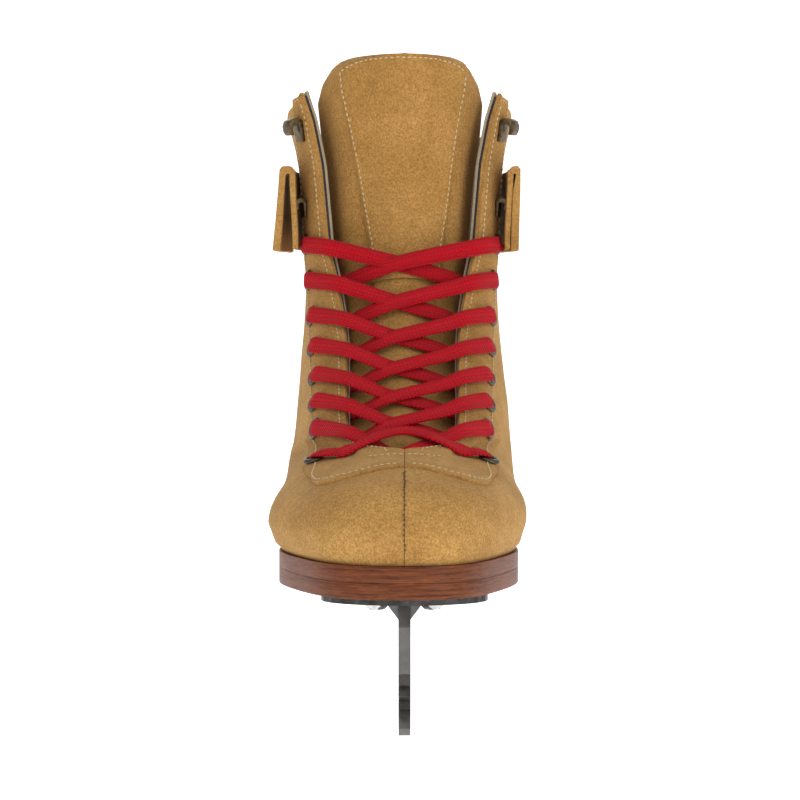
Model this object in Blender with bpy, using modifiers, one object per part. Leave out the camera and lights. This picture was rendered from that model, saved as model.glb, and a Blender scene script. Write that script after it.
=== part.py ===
"""Figure skate for the right foot: suede high boot, leather sole and heel, screwed-on steel blade.

Metres, +Z up. The toe points to -Y and the lateral side of the foot is -X. The origin is on the
flat middle of the runner, under the boot. Helper functions work in millimetres.
"""
import math

import bmesh
import bpy
from mathutils import Matrix, Vector

MM = 0.001
COLLECTION = "figure_skate"

# Boot shape: each row is a ring round the foot, from the sole up to the collar.
# front y, z, back y, z, sag towards the sole line, half-widths at 10/25/50/85 %, fullness
RINGS = [
    (-148.0, 68.9, 112.0, 98.8, 1.00, 48.0, 50.0, 42.5, 39.0, 0.70),
    (-150.5, 79.0, 113.0, 101.0, 0.85, 50.5, 53.0, 45.0, 40.0, 0.70),
    (-147.0, 89.0, 114.0, 103.0, 0.70, 50.0, 52.5, 45.5, 41.0, 0.70),
    (-138.0, 97.0, 115.0, 105.5, 0.50, 44.0, 46.5, 45.5, 42.0, 0.72),
    (-120.0, 103.0, 115.5, 108.0, 0.33, 30.0, 42.5, 45.0, 42.5, 0.75),
    (-100.0, 106.5, 116.0, 110.5, 0.20, 27.0, 41.0, 44.5, 42.5, 0.78),
    (-75.0, 110.5, 116.3, 113.0, 0.10, 38.0, 43.0, 44.5, 42.5, 0.70),
    (-60.0, 117.0, 116.5, 116.5, 0.05, 43.0, 44.0, 44.3, 42.3, 0.62),
    (-44.0, 127.0, 116.5, 121.0, 0.02, 44.0, 44.3, 44.0, 42.0, 0.58),
    (-29.0, 137.5, 116.0, 127.0, 0.00, 44.0, 44.0, 43.5, 41.5, 0.56),
    (-16.0, 149.0, 114.5, 136.0, 0.00, 43.5, 43.5, 43.0, 40.5, 0.55),
    (-4.0, 161.6, 111.0, 150.0, 0.00, 43.0, 42.6, 42.0, 38.5, 0.55),
    (6.0, 176.3, 107.0, 167.0, 0.00, 42.6, 42.0, 41.5, 36.5, 0.55),
    (13.0, 192.0, 105.0, 186.0, 0.00, 43.0, 42.8, 42.0, 36.5, 0.55),
    (17.0, 208.0, 105.5, 202.0, 0.00, 43.6, 43.4, 42.6, 38.0, 0.55),
    (19.0, 226.0, 108.0, 215.0, 0.00, 44.4, 44.4, 43.6, 39.0, 0.55),
    (20.0, 241.0, 111.0, 226.0, 0.00, 46.0, 46.0, 45.2, 40.5, 0.55),
    (20.0, 256.5, 113.5, 235.0, 0.00, 48.0, 48.0, 47.0, 42.0, 0.55),
    (20.0, 272.0, 116.0, 244.0, 0.00, 49.5, 49.5, 48.5, 43.0, 0.55),
]
COLLAR = 17.0           # ring of the top edge; the ring above it only guides the tongue
LATERAL_WIDER = 1.05    # the outer side of the foot is wider than the inner side, low down
LATERAL_SHAFT = 1.03    # and a little wider in the shaft
SEAM_GAP = 0.15         # half of the gap between two halves that meet
FIT_GAP = 0.3
LAST_GAP = 2.2          # filler under the lasted edge of the boot

# Layers of the boot wall, as depths under its outer surface
EYESTAY = (0.0, 0.7)
SUEDE = (1.45, 2.15)
PADDING = (2.95, 3.4)
LINING = (4.9, 5.6)

# Opening over the instep: height, half-width
SLOT = [(104.3, 0.0), (105.3, 12.0), (107.0, 19.0), (112.0, 23.0), (125.0, 23.5), (150.0, 24.0),
        (162.0, 25.5), (176.0, 28.5), (192.0, 33.0), (226.0, 36.0), (257.0, 39.0), (280.0, 41.0)]

# Eight rows of eyelets from the throat up: height and distance from the middle
EYELETS = [(103.5, 35.0), (115.0, 35.0), (125.0, 35.5), (135.5, 36.0), (147.5, 37.0),
           (160.5, 38.0), (176.0, 39.5), (191.5, 41.0)]
EYELET_HOLE_R = 2.95
EYELET_FLANGE_R = 4.6
EYELET_BORE_R = 2.1
HOOKS = [(207.0, 41.5), (240.5, 43.5)]
SIDE_SHARE = {-1: 1.02, 1: 0.95}   # the inner side is narrower, so its eyelets sit closer in

LACE_WIDTH = 7.2
LACE_LAYER = 2.6        # spacing of the folded layers of its free ends
LACE_THICK = 1.6
LACE_OVER = 2.6         # height of the lace's middle over the facing
LACE_UNDER = -7.7       # and under it

# Sole, heel and blade
SOLE_OUT = 1.2          # the sole stands out from the boot's lower edge
WELT_Z = (56.0, 62.1, 62.4, 68.6)
HEEL_BREAST_Y = 29.0
HEEL_END_Y = 112.8
HEEL_LIFTS = (63.3, 73.9, 74.2)
BLADE_THICK = 4.6
FACET_HALF = 6.0        # half-length of the flat middle of the runner
ROCKER_R = 2130.0
FRONT_PLATE_Z = (52.5, 55.6)
HEEL_PLATE_Z = (59.9, 63.0)
FRONT_SCREWS = [(-10.7, -118.0), (10.7, -118.0), (-23.5, -86.0), (22.0, -86.0), (-19.0, -56.0), (19.0, -56.0)]
HEEL_SCREWS = [(-14.0, 50.0), (14.0, 50.0), (-13.0, 88.0), (13.0, 88.0)]
SCREW_HEAD_R = 4.25
SCREW_SHANK_R = 1.8

# Tongue
TONGUE_DEPTH = (6.4, 10.9)    # under the boot's surface, in the middle and under the facings
TONGUE_SPLIT = 13.3
TONGUE_LEAN = 13.0
TONGUE_AXIS = (27.5, 193.0)

# Side flaps: hinge line (distance from the middle, height) and outline of the hanging leaf
FLAP_Y = (27.0, 86.0)


def catmull(values, u):
    """Smooth value between the entries of a list."""
    last = len(values) - 1
    i = min(max(int(math.floor(u)), 0), last - 1)
    f = u - i
    p0 = values[max(i - 1, 0)]
    p1 = values[i]
    p2 = values[i + 1]
    p3 = values[min(i + 2, last)]
    a = 2.0 * p1
    b = p2 - p0
    c = 2.0 * p0 - 5.0 * p1 + 4.0 * p2 - p3
    d = 3.0 * p1 - p0 - 3.0 * p2 + p3
    return 0.5 * (a + b * f + c * f * f + d * f * f * f)


def linear(table, x):
    """Straight-line value between (x, y) pairs."""
    if x <= table[0][0]:
        return table[0][1]
    for (x0, y0), (x1, y1) in zip(table, table[1:]):
        if x <= x1:
            return y0 + (y1 - y0) * (x - x0) / (x1 - x0)
    return table[-1][1]


def smooth(t):
    t = min(max(t, 0.0), 1.0)
    return t * t * (3.0 - 2.0 * t)


def sole_z(y):
    """Height of the sole's upper face: flat under the ball, then up the shank to the heel seat."""
    return WELT_Z[3] + 28.0 * smooth((y + 52.0) / 96.0) + 1.9 * smooth((y - 20.0) / 92.0)


COLUMNS = [[row[k] for row in RINGS] for k in range(10)]


def ring_value(k, u):
    return catmull(COLUMNS[k], u)


def surface(u, angle, side):
    """Point of the boot's outer surface, side -1 lateral or +1 medial."""
    q = 0.5 * (1.0 - math.cos(angle))
    fy, fz, by, bz, sag = (ring_value(k, u) for k in range(5))
    y = fy + (by - fy) * q
    z = fz + (bz - fz) * q
    base = RINGS[0][1] + (RINGS[0][3] - RINGS[0][1]) * q
    z += sag * (sole_z(RINGS[0][0] + 260.0 * q) + LAST_GAP - base)
    w10, w25, w50, w85, fullness = (ring_value(k, u) for k in range(5, 10))
    width = linear_smooth(q, ((0.1, w10), (0.25, w25), (0.5, w50), (0.85, w85)))
    wide = LATERAL_WIDER + (LATERAL_SHAFT - LATERAL_WIDER) * smooth(u / 9.0)
    factor = wide if side < 0 else 2.0 - wide
    x = side * width * factor * max(math.sin(angle), 0.0) ** fullness
    return Vector((x, y, z))


def linear_smooth(q, knots):
    """Eased value between knots."""
    if q <= knots[0][0]:
        return knots[0][1]
    for (q0, v0), (q1, v1) in zip(knots, knots[1:]):
        if q <= q1:
            return v0 + (v1 - v0) * smooth((q - q0) / (q1 - q0))
    return knots[-1][1]


def normal(u, angle, side):
    """Outward normal of the boot's surface."""
    e = 0.004
    low = max(angle - e, 0.0)
    high = min(angle + e, math.pi)
    along = surface(u, high, side) - surface(u, low, side)
    up = surface(min(u + 0.6, 18.0), angle, side) - surface(max(u - 0.6, 0.0), angle, side)
    n = along.cross(up)
    if side < 0:
        n = -n
    return n.normalized()


def wall(u, angle, side, depth):
    """Point at a depth under the outer surface; negative depths stand out."""
    p = surface(u, angle, side) - normal(u, angle, side) * depth
    if u < 0.02:
        p.z = surface(u, angle, side).z
    return p


def angle_at(u, side, x):
    """Angle in the front half of a ring where it is x from the middle."""
    low = 0.0
    high = 0.5 * math.pi
    for _ in range(30):
        mid = 0.5 * (low + high)
        if abs(surface(u, mid, side).x) < x:
            low = mid
        else:
            high = mid
    return 0.5 * (low + high)


def front(x, z):
    """Ring, angle and side of the front surface's point at a given x and height."""
    side = -1 if x < 0 else 1
    low = 1.0
    high = 18.0
    for _ in range(26):
        mid = 0.5 * (low + high)
        if surface(mid, angle_at(mid, side, abs(x)), side).z < z:
            low = mid
        else:
            high = mid
    u = 0.5 * (low + high)
    return u, angle_at(u, side, abs(x)), side


def slot_angle(u, side):
    """Angle where the instep opening's edge cuts a ring, or 0 under the throat."""
    if surface(u, 0.0, side).z <= SLOT[0][0]:
        return 0.0
    low = 0.0
    high = 0.5 * math.pi
    for _ in range(30):
        mid = 0.5 * (low + high)
        p = surface(u, mid, side)
        if abs(p.x) < linear(SLOT, p.z) * SIDE_SHARE[side]:
            low = mid
        else:
            high = mid
    return 0.5 * (low + high)


# ---------------------------------------------------------------- scene helpers

def clear_scene():
    for obj in list(bpy.data.objects):
        bpy.data.objects.remove(obj, do_unlink=True)


def collection(name):
    found = bpy.data.collections.new(name)
    bpy.context.scene.collection.children.link(found)
    return found


MATERIALS = {}


def material(name, colour, roughness, metallic=0.0):
    mat = bpy.data.materials.new(name)
    mat.use_nodes = True
    shader = mat.node_tree.nodes["Principled BSDF"]
    shader.inputs["Base Color"].default_value = (*colour, 1.0)
    shader.inputs["Roughness"].default_value = roughness
    shader.inputs["Metallic"].default_value = metallic
    MATERIALS[name] = mat
    return mat


def add_mesh(name, bm, mat, origin=(0.0, 0.0, 0.0), smooth_faces=True):
    """Object from a bmesh in millimetres, with its origin where the caller wants it."""
    bmesh.ops.scale(bm, vec=(MM, MM, MM), verts=bm.verts)
    start = Vector(origin) * MM
    bmesh.ops.translate(bm, vec=-start, verts=bm.verts)
    bmesh.ops.recalc_face_normals(bm, faces=bm.faces)
    mesh = bpy.data.meshes.new(name)
    bm.to_mesh(mesh)
    bm.free()
    obj = bpy.data.objects.new(name, mesh)
    obj.location = start
    PARTS.objects.link(obj)
    mesh.materials.append(MATERIALS[mat])
    if smooth_faces:
        mesh.shade_smooth()
        mesh.set_sharp_from_angle(angle=math.radians(35.0))
    return obj


def as_mesh(obj, name, mat):
    """Mesh copy of a curve, for pieces that are cut or joined."""
    bpy.context.view_layer.update()
    evaluated = obj.evaluated_get(bpy.context.evaluated_depsgraph_get())
    mesh = bpy.data.meshes.new_from_object(evaluated)
    bm = bmesh.new()
    bm.from_mesh(mesh)
    bmesh.ops.remove_doubles(bm, verts=bm.verts, dist=0.00001)
    bm.to_mesh(mesh)
    bm.free()
    copy = bpy.data.objects.new(name, mesh)
    copy.matrix_world = obj.matrix_world
    for group in obj.users_collection:
        group.objects.link(copy)
    bpy.data.objects.remove(obj, do_unlink=True)
    copy.name = name
    mesh.materials.clear()
    mesh.materials.append(MATERIALS[mat])
    return copy


def flat_curve(name, outlines, thickness, group, bevel=0.0):
    """Plate from closed outlines in its local XY plane."""
    curve = bpy.data.curves.new(name, "CURVE")
    curve.dimensions = "2D"
    curve.fill_mode = "BOTH"
    curve.extrude = (0.5 * thickness - bevel) * MM
    if bevel > 0.0:
        curve.bevel_depth = bevel * MM
        curve.bevel_resolution = 0
        curve.offset = -bevel * MM
    for outline in outlines:
        spline = curve.splines.new("POLY")
        spline.points.add(len(outline) - 1)
        for point, (x, y) in zip(spline.points, outline):
            point.co = (x * MM, y * MM, 0.0, 1.0)
        spline.use_cyclic_u = True
    obj = bpy.data.objects.new(name, curve)
    group.objects.link(obj)
    return obj


def cut(obj, cutter, operation="DIFFERENCE", solver="EXACT"):
    boolean = obj.modifiers.new("cut_" + cutter.name, "BOOLEAN")
    boolean.operation = operation
    boolean.solver = solver
    boolean.object = cutter


def cylinders(name, centres, radius, segments=12):
    """One hidden cutter made of separate cylinders: (point, axis, length) in millimetres."""
    bm = bmesh.new()
    for point, axis, length in centres:
        turn = Vector((0.0, 0.0, 1.0)).rotation_difference(Vector(axis)).to_matrix().to_4x4()
        place = Matrix.Translation(Vector(point)) @ turn
        bmesh.ops.create_cone(bm, cap_ends=True, segments=segments, radius1=radius, radius2=radius,
                              depth=length, matrix=place)
    bmesh.ops.scale(bm, vec=(MM, MM, MM), verts=bm.verts)
    mesh = bpy.data.meshes.new(name)
    bm.to_mesh(mesh)
    bm.free()
    obj = bpy.data.objects.new(name, mesh)
    obj.hide_render = True
    obj.display_type = "WIRE"
    CUTTERS.objects.link(obj)
    return obj


def turned(name, profile, mat, steps=12):
    """Turned solid about local Z; the profile runs down the outer side."""
    mesh = bpy.data.meshes.new(name)
    points = [(r * MM, 0.0, z * MM) for r, z in profile]
    edges = [(i, i + 1) for i in range(len(points) - 1)]
    if profile[0][0] > 0.0:
        edges.append((len(points) - 1, 0))
    mesh.from_pydata(points, edges, [])
    obj = bpy.data.objects.new(name, mesh)
    PARTS.objects.link(obj)
    screw = obj.modifiers.new("turn", "SCREW")
    screw.axis = "Z"
    screw.steps = steps
    screw.render_steps = steps
    screw.use_merge_vertices = True
    screw.merge_threshold = 0.00001
    screw.use_smooth_shade = True
    mesh.materials.append(MATERIALS[mat])
    return obj


def stand_on(obj, point, axis):
    """Puts a local +Z shape at a point, along an axis."""
    obj.rotation_mode = "QUATERNION"
    obj.location = Vector(point) * MM
    obj.rotation_quaternion = Vector((0.0, 0.0, 1.0)).rotation_difference(Vector(axis))


# ---------------------------------------------------------------- lofted shells

def loft(outer, inner, turn=10000):
    """Closed wall between two grids of points with the same layout. Both grids split their quads
    along the same diagonal, which changes sides at column turn, so nested walls stay parallel."""
    bm = bmesh.new()
    rows = len(outer)
    cols = len(outer[0])
    a = [[bm.verts.new(p) for p in row] for row in outer]
    b = [[bm.verts.new(p) for p in row] for row in inner]
    for i in range(rows - 1):
        for j in range(cols - 1):
            for g, way in ((a, 1), (b, -1)):
                corners = (g[i][j], g[i][j + 1], g[i + 1][j + 1], g[i + 1][j])
                first = 0 if j < turn else 1
                for step in (1, 2):
                    face = (corners[first], corners[(first + step) % 4], corners[(first + step + 1) % 4])
                    bm.faces.new(face[::way])
    for j in range(cols - 1):
        bm.faces.new((a[0][j], b[0][j], b[0][j + 1], a[0][j + 1]))
        bm.faces.new((a[-1][j], a[-1][j + 1], b[-1][j + 1], b[-1][j]))
    for i in range(rows - 1):
        bm.faces.new((a[i][0], a[i + 1][0], b[i + 1][0], b[i][0]))
        bm.faces.new((a[i][-1], b[i][-1], b[i + 1][-1], a[i + 1][-1]))
    return bm


def off_seam(p, side):
    """Keeps a half clear of the middle seam."""
    if p.x * side < SEAM_GAP:
        p.x = SEAM_GAP * side
    return p


def spread(start, end, count):
    """Angles from start to end, closer together near the ends."""
    values = []
    for j in range(count + 1):
        t = j / count
        values.append(start + (end - start) * (0.45 * t + 0.55 * smooth(t)))
    return values


LEVELS = [0.0, 1.0, 2.0, 3.0, 4.0, 5.0, 6.0, 7.0, 8.0, 9.0, 10.0, 11.2, 12.5, 14.0, 15.5, 17.0]
COLUMN_COUNT = 11
ANGLES = {}


def grid_point(side, depth, i, j):
    """Point at row i and column j of the shared grid; fractions lie on its flat facets."""
    i0 = min(int(i), len(LEVELS) - 2)
    j0 = min(int(j), COLUMN_COUNT - 1)
    corners = []
    for di in (0, 1):
        for dj in (0, 1):
            u = LEVELS[i0 + di]
            if (u, side) not in ANGLES:
                ANGLES[u, side] = spread(slot_angle(u, side), math.pi, COLUMN_COUNT)
            corners.append(off_seam(wall(u, ANGLES[u, side][j0 + dj], side, depth), side))
    low = corners[0].lerp(corners[1], j - j0)
    high = corners[2].lerp(corners[3], j - j0)
    return low.lerp(high, i - i0)


def steps(first, last):
    """first, the whole numbers between, and last."""
    inner = [k for k in range(int(math.ceil(first)), int(math.floor(last)) + 1) if first < k < last]
    return [first] + [float(k) for k in inner] + [last]


def patch(side, depth, rows, cols):
    return [[grid_point(side, depth, i, j) for j in steps(*cols)] for i in steps(*rows)]


def half_shell(name, side, layer, rows, cols, mat):
    """Wall over a range of the grid's rows and columns, on one side of the boot."""
    return add_mesh(name, loft(patch(side, layer[0], rows, cols), patch(side, layer[1], rows, cols)), mat)


def full_shell(name, layer, rows, first, mat):
    """Wall round the back, from a column on one side to the same column on the other."""
    grids = []
    for depth in layer:
        left = patch(-1, depth, rows, (first, COLUMN_COUNT))
        right = patch(1, depth, rows, (first, COLUMN_COUNT))
        joined = []
        for l_row, r_row in zip(left, right):
            l_row[-1].x = 0.0
            joined.append(l_row + r_row[-2::-1])
        grids.append(joined)
    return add_mesh(name, loft(*grids, len(grids[0][0]) // 2), mat)


def boot_walls():
    last = len(LEVELS) - 1.0
    holes = {}
    for side, tag in ((-1, "left"), (1, "right")):
        drills = []
        for z, x in EYELETS:
            u, a, _ = front(side * x * SIDE_SHARE[side], z)
            drills.append((wall(u, a, side, 2.5), normal(u, a, side), 14.0))
        holes[side] = cylinders("cut_eyelets_" + tag, drills, EYELET_HOLE_R, 10)

    for side, tag in ((-1, "left"), (1, "right")):
        upper = half_shell("upper_" + tag, side, SUEDE, (0.0, last), (0.0, COLUMN_COUNT), "suede")
        stay = half_shell("eyestay_" + tag, side, EYESTAY, (5.0, last), (0.0, 4.0), "suede_trim")
        cut(upper, holes[side])
        cut(stay, holes[side], solver="MANIFOLD")
        half_shell("padding_" + tag, side, PADDING, (6.0, last), (5.0, 7.0), "padding")

    full_shell("heel_counter", PADDING, (1.0, 7.0), 8.0, "board")
    full_shell("collar_padding", PADDING, (8.0, last), 8.0, "padding")
    lining = full_shell("lining", LINING, (0.0, last), 0.0, "lining")
    cut(lining, holes[-1])
    cut(lining, holes[1])


# ---------------------------------------------------------------- sole, heel, inner soles

def slab(name, inset, top, bottom, mat, y_from=None, y_to=None, count=20):
    """Layer with the boot's footprint: inset from its lower edge, top and bottom heights over y."""
    bm = bmesh.new()
    columns = []
    first = None
    for i in range(count + 1):
        angle = math.radians(7.0) + (math.pi - math.radians(14.0)) * i / count
        left = wall_flat(angle, -1, inset)
        right = wall_flat(angle, 1, inset)
        y = left.y
        if y_from is not None and y < y_from:
            first = (left, right)
            continue
        if y_to is not None and y > y_to:
            break
        if first is not None and y_from is not None:
            t = (y_from - first[0].y) / (y - first[0].y)
            columns.append((first[0].lerp(left, t), first[1].lerp(right, t)))
            first = None
        columns.append((left, right))
    rings = []
    for left, right in columns:
        ring = []
        for p, h in ((left, top), (right, top), (right, bottom), (left, bottom)):
            ring.append(bm.verts.new((p.x, p.y, h(p.y))))
        rings.append(ring)
    for r0, r1 in zip(rings, rings[1:]):
        for k in range(4):
            bm.faces.new((r0[k], r0[(k + 1) % 4], r1[(k + 1) % 4], r1[k]))
    bm.faces.new(rings[0])
    bm.faces.new(rings[-1])
    return add_mesh(name, bm, mat)


def wall_flat(angle, side, inset):
    """Point of the footprint, moved in by a distance in the ground plane."""
    e = 0.01
    p = surface(0.0, angle, side)
    t = surface(0.0, min(angle + e, math.pi), side) - surface(0.0, max(angle - e, 0.0), side)
    n = Vector((t.y, -t.x, 0.0)).normalized()
    if n.x * side < 0.0:
        n = -n
    return p - n * inset


def sole_and_heel():
    holes = cylinders("cut_front_screws", [((x, y, 57.0), (0, 0, 1), 16.0) for x, y in FRONT_SCREWS],
                      SCREW_SHANK_R + 0.3)
    heel_holes = cylinders("cut_heel_screws", [((x, y, 65.0), (0, 0, 1), 14.0) for x, y in HEEL_SCREWS],
                           SCREW_SHANK_R + 0.3)
    drop = WELT_Z[3] - WELT_Z[2]
    mid = slab("midsole", -SOLE_OUT, sole_z, lambda y: sole_z(y) - drop, "leather_sole")
    thick = WELT_Z[3] - WELT_Z[1]
    full = WELT_Z[3] - WELT_Z[0]
    out = slab("outsole", -SOLE_OUT, lambda y: sole_z(y) - thick, lambda y: sole_z(y) - full,
               "leather_sole")
    cut(mid, holes)
    cut(out, holes)
    low, split, seat = HEEL_LIFTS
    lower = slab("heel_lift_lower", -SOLE_OUT + 1.4, lambda y: split, lambda y: low, "leather_sole",
                 HEEL_BREAST_Y, HEEL_END_Y)
    slab("heel_lift_upper", -SOLE_OUT + 0.7, lambda y: sole_z(y) - full - 0.8, lambda y: seat,
         "leather_sole", HEEL_BREAST_Y, HEEL_END_Y)
    cut(lower, heel_holes)
    slab("insole_board", 6.6, lambda y: sole_z(y) + 5.2, lambda y: sole_z(y) + 3.0, "board")
    slab("footbed", 7.0, lambda y: sole_z(y) + 8.2, lambda y: sole_z(y) + 5.6, "lining")
    shank()
    return holes, heel_holes


def shank():
    """Steel strip in the hollow between the midsole and the insole board."""
    bm = bmesh.new()
    rings = []
    for i in range(11):
        y = -42.0 + 11.0 * i
        z = sole_z(y)
        ring = [bm.verts.new((x, y, z + h)) for x, h in ((-7, 2.4), (7, 2.4), (7, 1.0), (-7, 1.0))]
        rings.append(ring)
    for r0, r1 in zip(rings, rings[1:]):
        for k in range(4):
            bm.faces.new((r0[k], r0[(k + 1) % 4], r1[(k + 1) % 4], r1[k]))
    bm.faces.new(rings[0])
    bm.faces.new(rings[-1])
    add_mesh("shank", bm, "steel", smooth_faces=False)


def runner_z(y):
    """Lower edge of the runner: a flat facet in the middle of a long rocker."""
    away = max(abs(y) - FACET_HALF, 0.0)
    return away * away / (2.0 * ROCKER_R)


def blade_outline():
    points = []
    for y in (-98, -80, -60, -40, -20, -FACET_HALF, FACET_HALF, 20, 40, 60, 80, 100, 116):
        points.append((y, runner_z(y)))
    points += [(124, 4.5), (129, 8.5), (130, 13.0), (127, 17.0), (118, 19.5)]
    points += [(106, 23.0), (101, 32.0), (100, 48.0), (103, 59.6), (38, 59.6), (42, 48.0), (48, 34.0)]
    points += [(47, 26.0), (38, 23.5), (0, 23.5), (-30, 25.0), (-41, 30.0), (-46, 40.0), (-50, 52.2)]
    points += [(-129, 52.2), (-131, 44.0), (-130, 33.0), (-129, 26.0)]
    # five teeth of the toe pick, from the front down to the drag pick
    points += [(-131.5, 22.4), (-127.0, 20.8), (-129.5, 17.6), (-124.5, 15.4), (-127.0, 12.6)]
    points += [(-121.5, 11.6), (-123.5, 9.0), (-117.5, 8.4), (-119.0, 3.8), (-113.5, 0.4), (-107.0, 5.8)]
    points += [(-102.5, 5.4)]
    return points


def blade_and_plates(front_holes, heel_holes):
    front_window = [(-96, 24), (-62, 24), (-60, 34), (-66, 42), (-92, 42), (-100, 34)]
    heel_window = [(60, 26), (92, 26), (90, 44), (84, 50), (62, 50), (58, 42)]
    flat = flat_curve("blade_curve", [blade_outline(), front_window, heel_window], BLADE_THICK, PARTS)
    flat.rotation_euler = (math.radians(90.0), 0.0, math.radians(90.0))
    blade = as_mesh(flat, "blade", "steel")
    for name, y0, y1, top, height in (("cut_flare_front", -128.5, -50.5, 52.2, 6.5),
                                      ("cut_flare_heel", 40.0, 101.5, 59.6, 6.5)):
        bm = bmesh.new()
        bmesh.ops.create_cube(bm, size=1.0)
        for v in bm.verts:
            half = 6.5 if v.co.z > 0.0 else 1.6
            v.co = Vector((math.copysign(half, v.co.x), y0 if v.co.y < 0.0 else y1,
                           top if v.co.z > 0.0 else top - height))
        bmesh.ops.scale(bm, vec=(MM, MM, MM), verts=bm.verts)
        mesh = bpy.data.meshes.new(name)
        bm.to_mesh(mesh)
        bm.free()
        flare = bpy.data.objects.new(name, mesh)
        flare.hide_render = True
        flare.display_type = "WIRE"
        CUTTERS.objects.link(flare)
        cut(blade, flare, "UNION")

    front_plate = []
    for i in range(13):
        a = math.pi + math.pi * i / 12.0
        front_plate.append((32.0 * math.cos(a), -112.0 + 23.0 * math.sin(a)))
    front_plate += [(30.0, -84.0), (24.0, -52.0), (18.0, -44.0), (-18.0, -44.0), (-24.0, -52.0), (-30.0, -84.0)]
    heel_plate = [(-17.0, 37.0), (17.0, 37.0), (22.0, 44.0), (24.0, 62.0), (23.0, 82.0)]
    for i in range(9):
        a = math.pi * i / 8.0
        heel_plate.append((20.0 * math.cos(a), 92.0 + 14.0 * math.sin(a)))
    heel_plate += [(-23.0, 82.0), (-24.0, 62.0), (-22.0, 44.0)]
    for name, outline, z, cutter in (("front_plate", front_plate, FRONT_PLATE_Z, front_holes),
                                     ("heel_plate", heel_plate, HEEL_PLATE_Z, heel_holes)):
        curve = flat_curve(name + "_curve", [outline], z[1] - z[0], PARTS)
        curve.location = (0.0, 0.0, 0.5 * (z[0] + z[1]) * MM)
        plate = as_mesh(curve, name, "steel")
        cut(plate, cutter)


def screws():
    """Pan-head screws up through the plates; the head hangs under the plate."""
    profile = [(0.0, 8.2), (SCREW_SHANK_R, 7.0), (SCREW_SHANK_R, -0.2), (SCREW_HEAD_R, -0.2),
               (SCREW_HEAD_R, -0.9), (2.9, -2.1), (0.0, -2.4)]
    for label, places, z in (("front_screw", FRONT_SCREWS, FRONT_PLATE_Z[0]),
                             ("heel_screw", HEEL_SCREWS, HEEL_PLATE_Z[0])):
        for i, (x, y) in enumerate(places):
            screw = turned(f"{label}_{i + 1}", profile, "screw", 10)
            screw.location = (x * MM, y * MM, (z - 0.1) * MM)


# ---------------------------------------------------------------- eyelets, hooks

def eyelets():
    profile = [(EYELET_BORE_R, 0.9), (3.6, 0.9), (EYELET_FLANGE_R, 0.1), (2.6, 0.1), (2.6, -5.7),
               (EYELET_BORE_R, -5.7)]
    for side, tag in ((-1, "left"), (1, "right")):
        for i, (z, x) in enumerate(EYELETS):
            u, a, _ = front(side * x * SIDE_SHARE[side], z)
            ring = turned(f"eyelet_{tag}_{8 - i}", profile, "bronze", 10)
            stand_on(ring, wall(u, a, side, -1.2), normal(u, a, side))


def hooks():
    """Speed hooks: a base plate whose upper end curls out and back."""
    outline = [(-4.5, 0.0), (4.6, 0.0), (5.6, 1.6), (6.0, 4.0), (5.2, 6.2), (3.0, 7.2), (0.4, 7.0),
               (-1.0, 6.2), (-0.6, 5.2), (0.8, 5.9), (2.8, 6.0), (4.3, 5.3), (4.8, 3.9), (4.4, 2.2),
               (3.6, 1.1), (-4.5, 1.0)]
    for side, tag in ((-1, "left"), (1, "right")):
        for i, (z, x) in enumerate(HOOKS):
            u, a, _ = front(side * x * SIDE_SHARE[side], z)
            n = normal(u, a, side)
            up = Vector((0.0, 0.0, 1.0))
            up = (up - n * up.dot(n)).normalized()
            across = up.cross(n)
            size = 0.78 if i == 0 else 1.0
            curve = flat_curve(f"hook_{tag}_{i + 1}", [[(x * size, y * size) for x, y in outline]],
                               6.0 * size, PARTS)
            start = wall(u, a, side, -0.35) * MM
            turn = Matrix((up, n, across)).transposed().to_4x4()
            curve.matrix_world = Matrix.Translation(start) @ turn
            as_mesh(curve, f"hook_{tag}_{i + 1}", "bronze")


# ---------------------------------------------------------------- tongue

def tongue_half_width(u):
    """Half-width of the tongue, measured on the boot's surface."""
    return linear([(4.9, 16.0), (5.6, 24.0), (7.0, 32.0), (9.0, 36.0), (13.0, 39.5), (16.0, 42.5),
                   (17.0, 41.5), (17.4, 37.0), (17.75, 29.0), (18.0, 17.0)], u)


def tongue_point(u, share, depth):
    """Point of the tongue: share -1..1 across it, depth behind its face."""
    x = share * tongue_half_width(u)
    side = -1 if share < 0.0 else 1
    a = angle_at(u, side, max(abs(x), 0.001)) if abs(x) > 0.0 else 0.0
    near = smooth(abs(x) / 22.0)
    base = TONGUE_DEPTH[0] + (TONGUE_DEPTH[1] - TONGUE_DEPTH[0]) * near
    thin = 1.0 - 0.55 * smooth((abs(share) - 0.35) / 0.65)
    base += 4.0 * smooth((6.4 - u) / 1.4)
    p = wall(u, a, side, base + depth * thin)
    if abs(x) < 0.0005:
        p.x = 0.0
    p.y -= TONGUE_LEAN * smooth((u - 13.0) / 5.5) * (1.0 - abs(share) ** 2)
    return p


def tongue_piece(name, levels, depths, mat, start=None, origin=(0.0, 0.0, 0.0)):
    shares = [-1.0, -0.75, -0.5, -0.25, 0.0, 0.25, 0.5, 0.75, 1.0]
    grids = []
    for depth in depths:
        rows = []
        for i, u in enumerate(levels):
            row = []
            for share in shares:
                lift = start(share) * (1.0 - i / (len(levels) - 1)) if start else 0.0
                row.append(tongue_point(u + lift, share, depth))
            rows.append(row)
        grids.append(rows)
    return add_mesh(name, loft(grids[0], grids[1]), mat, origin)


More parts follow.
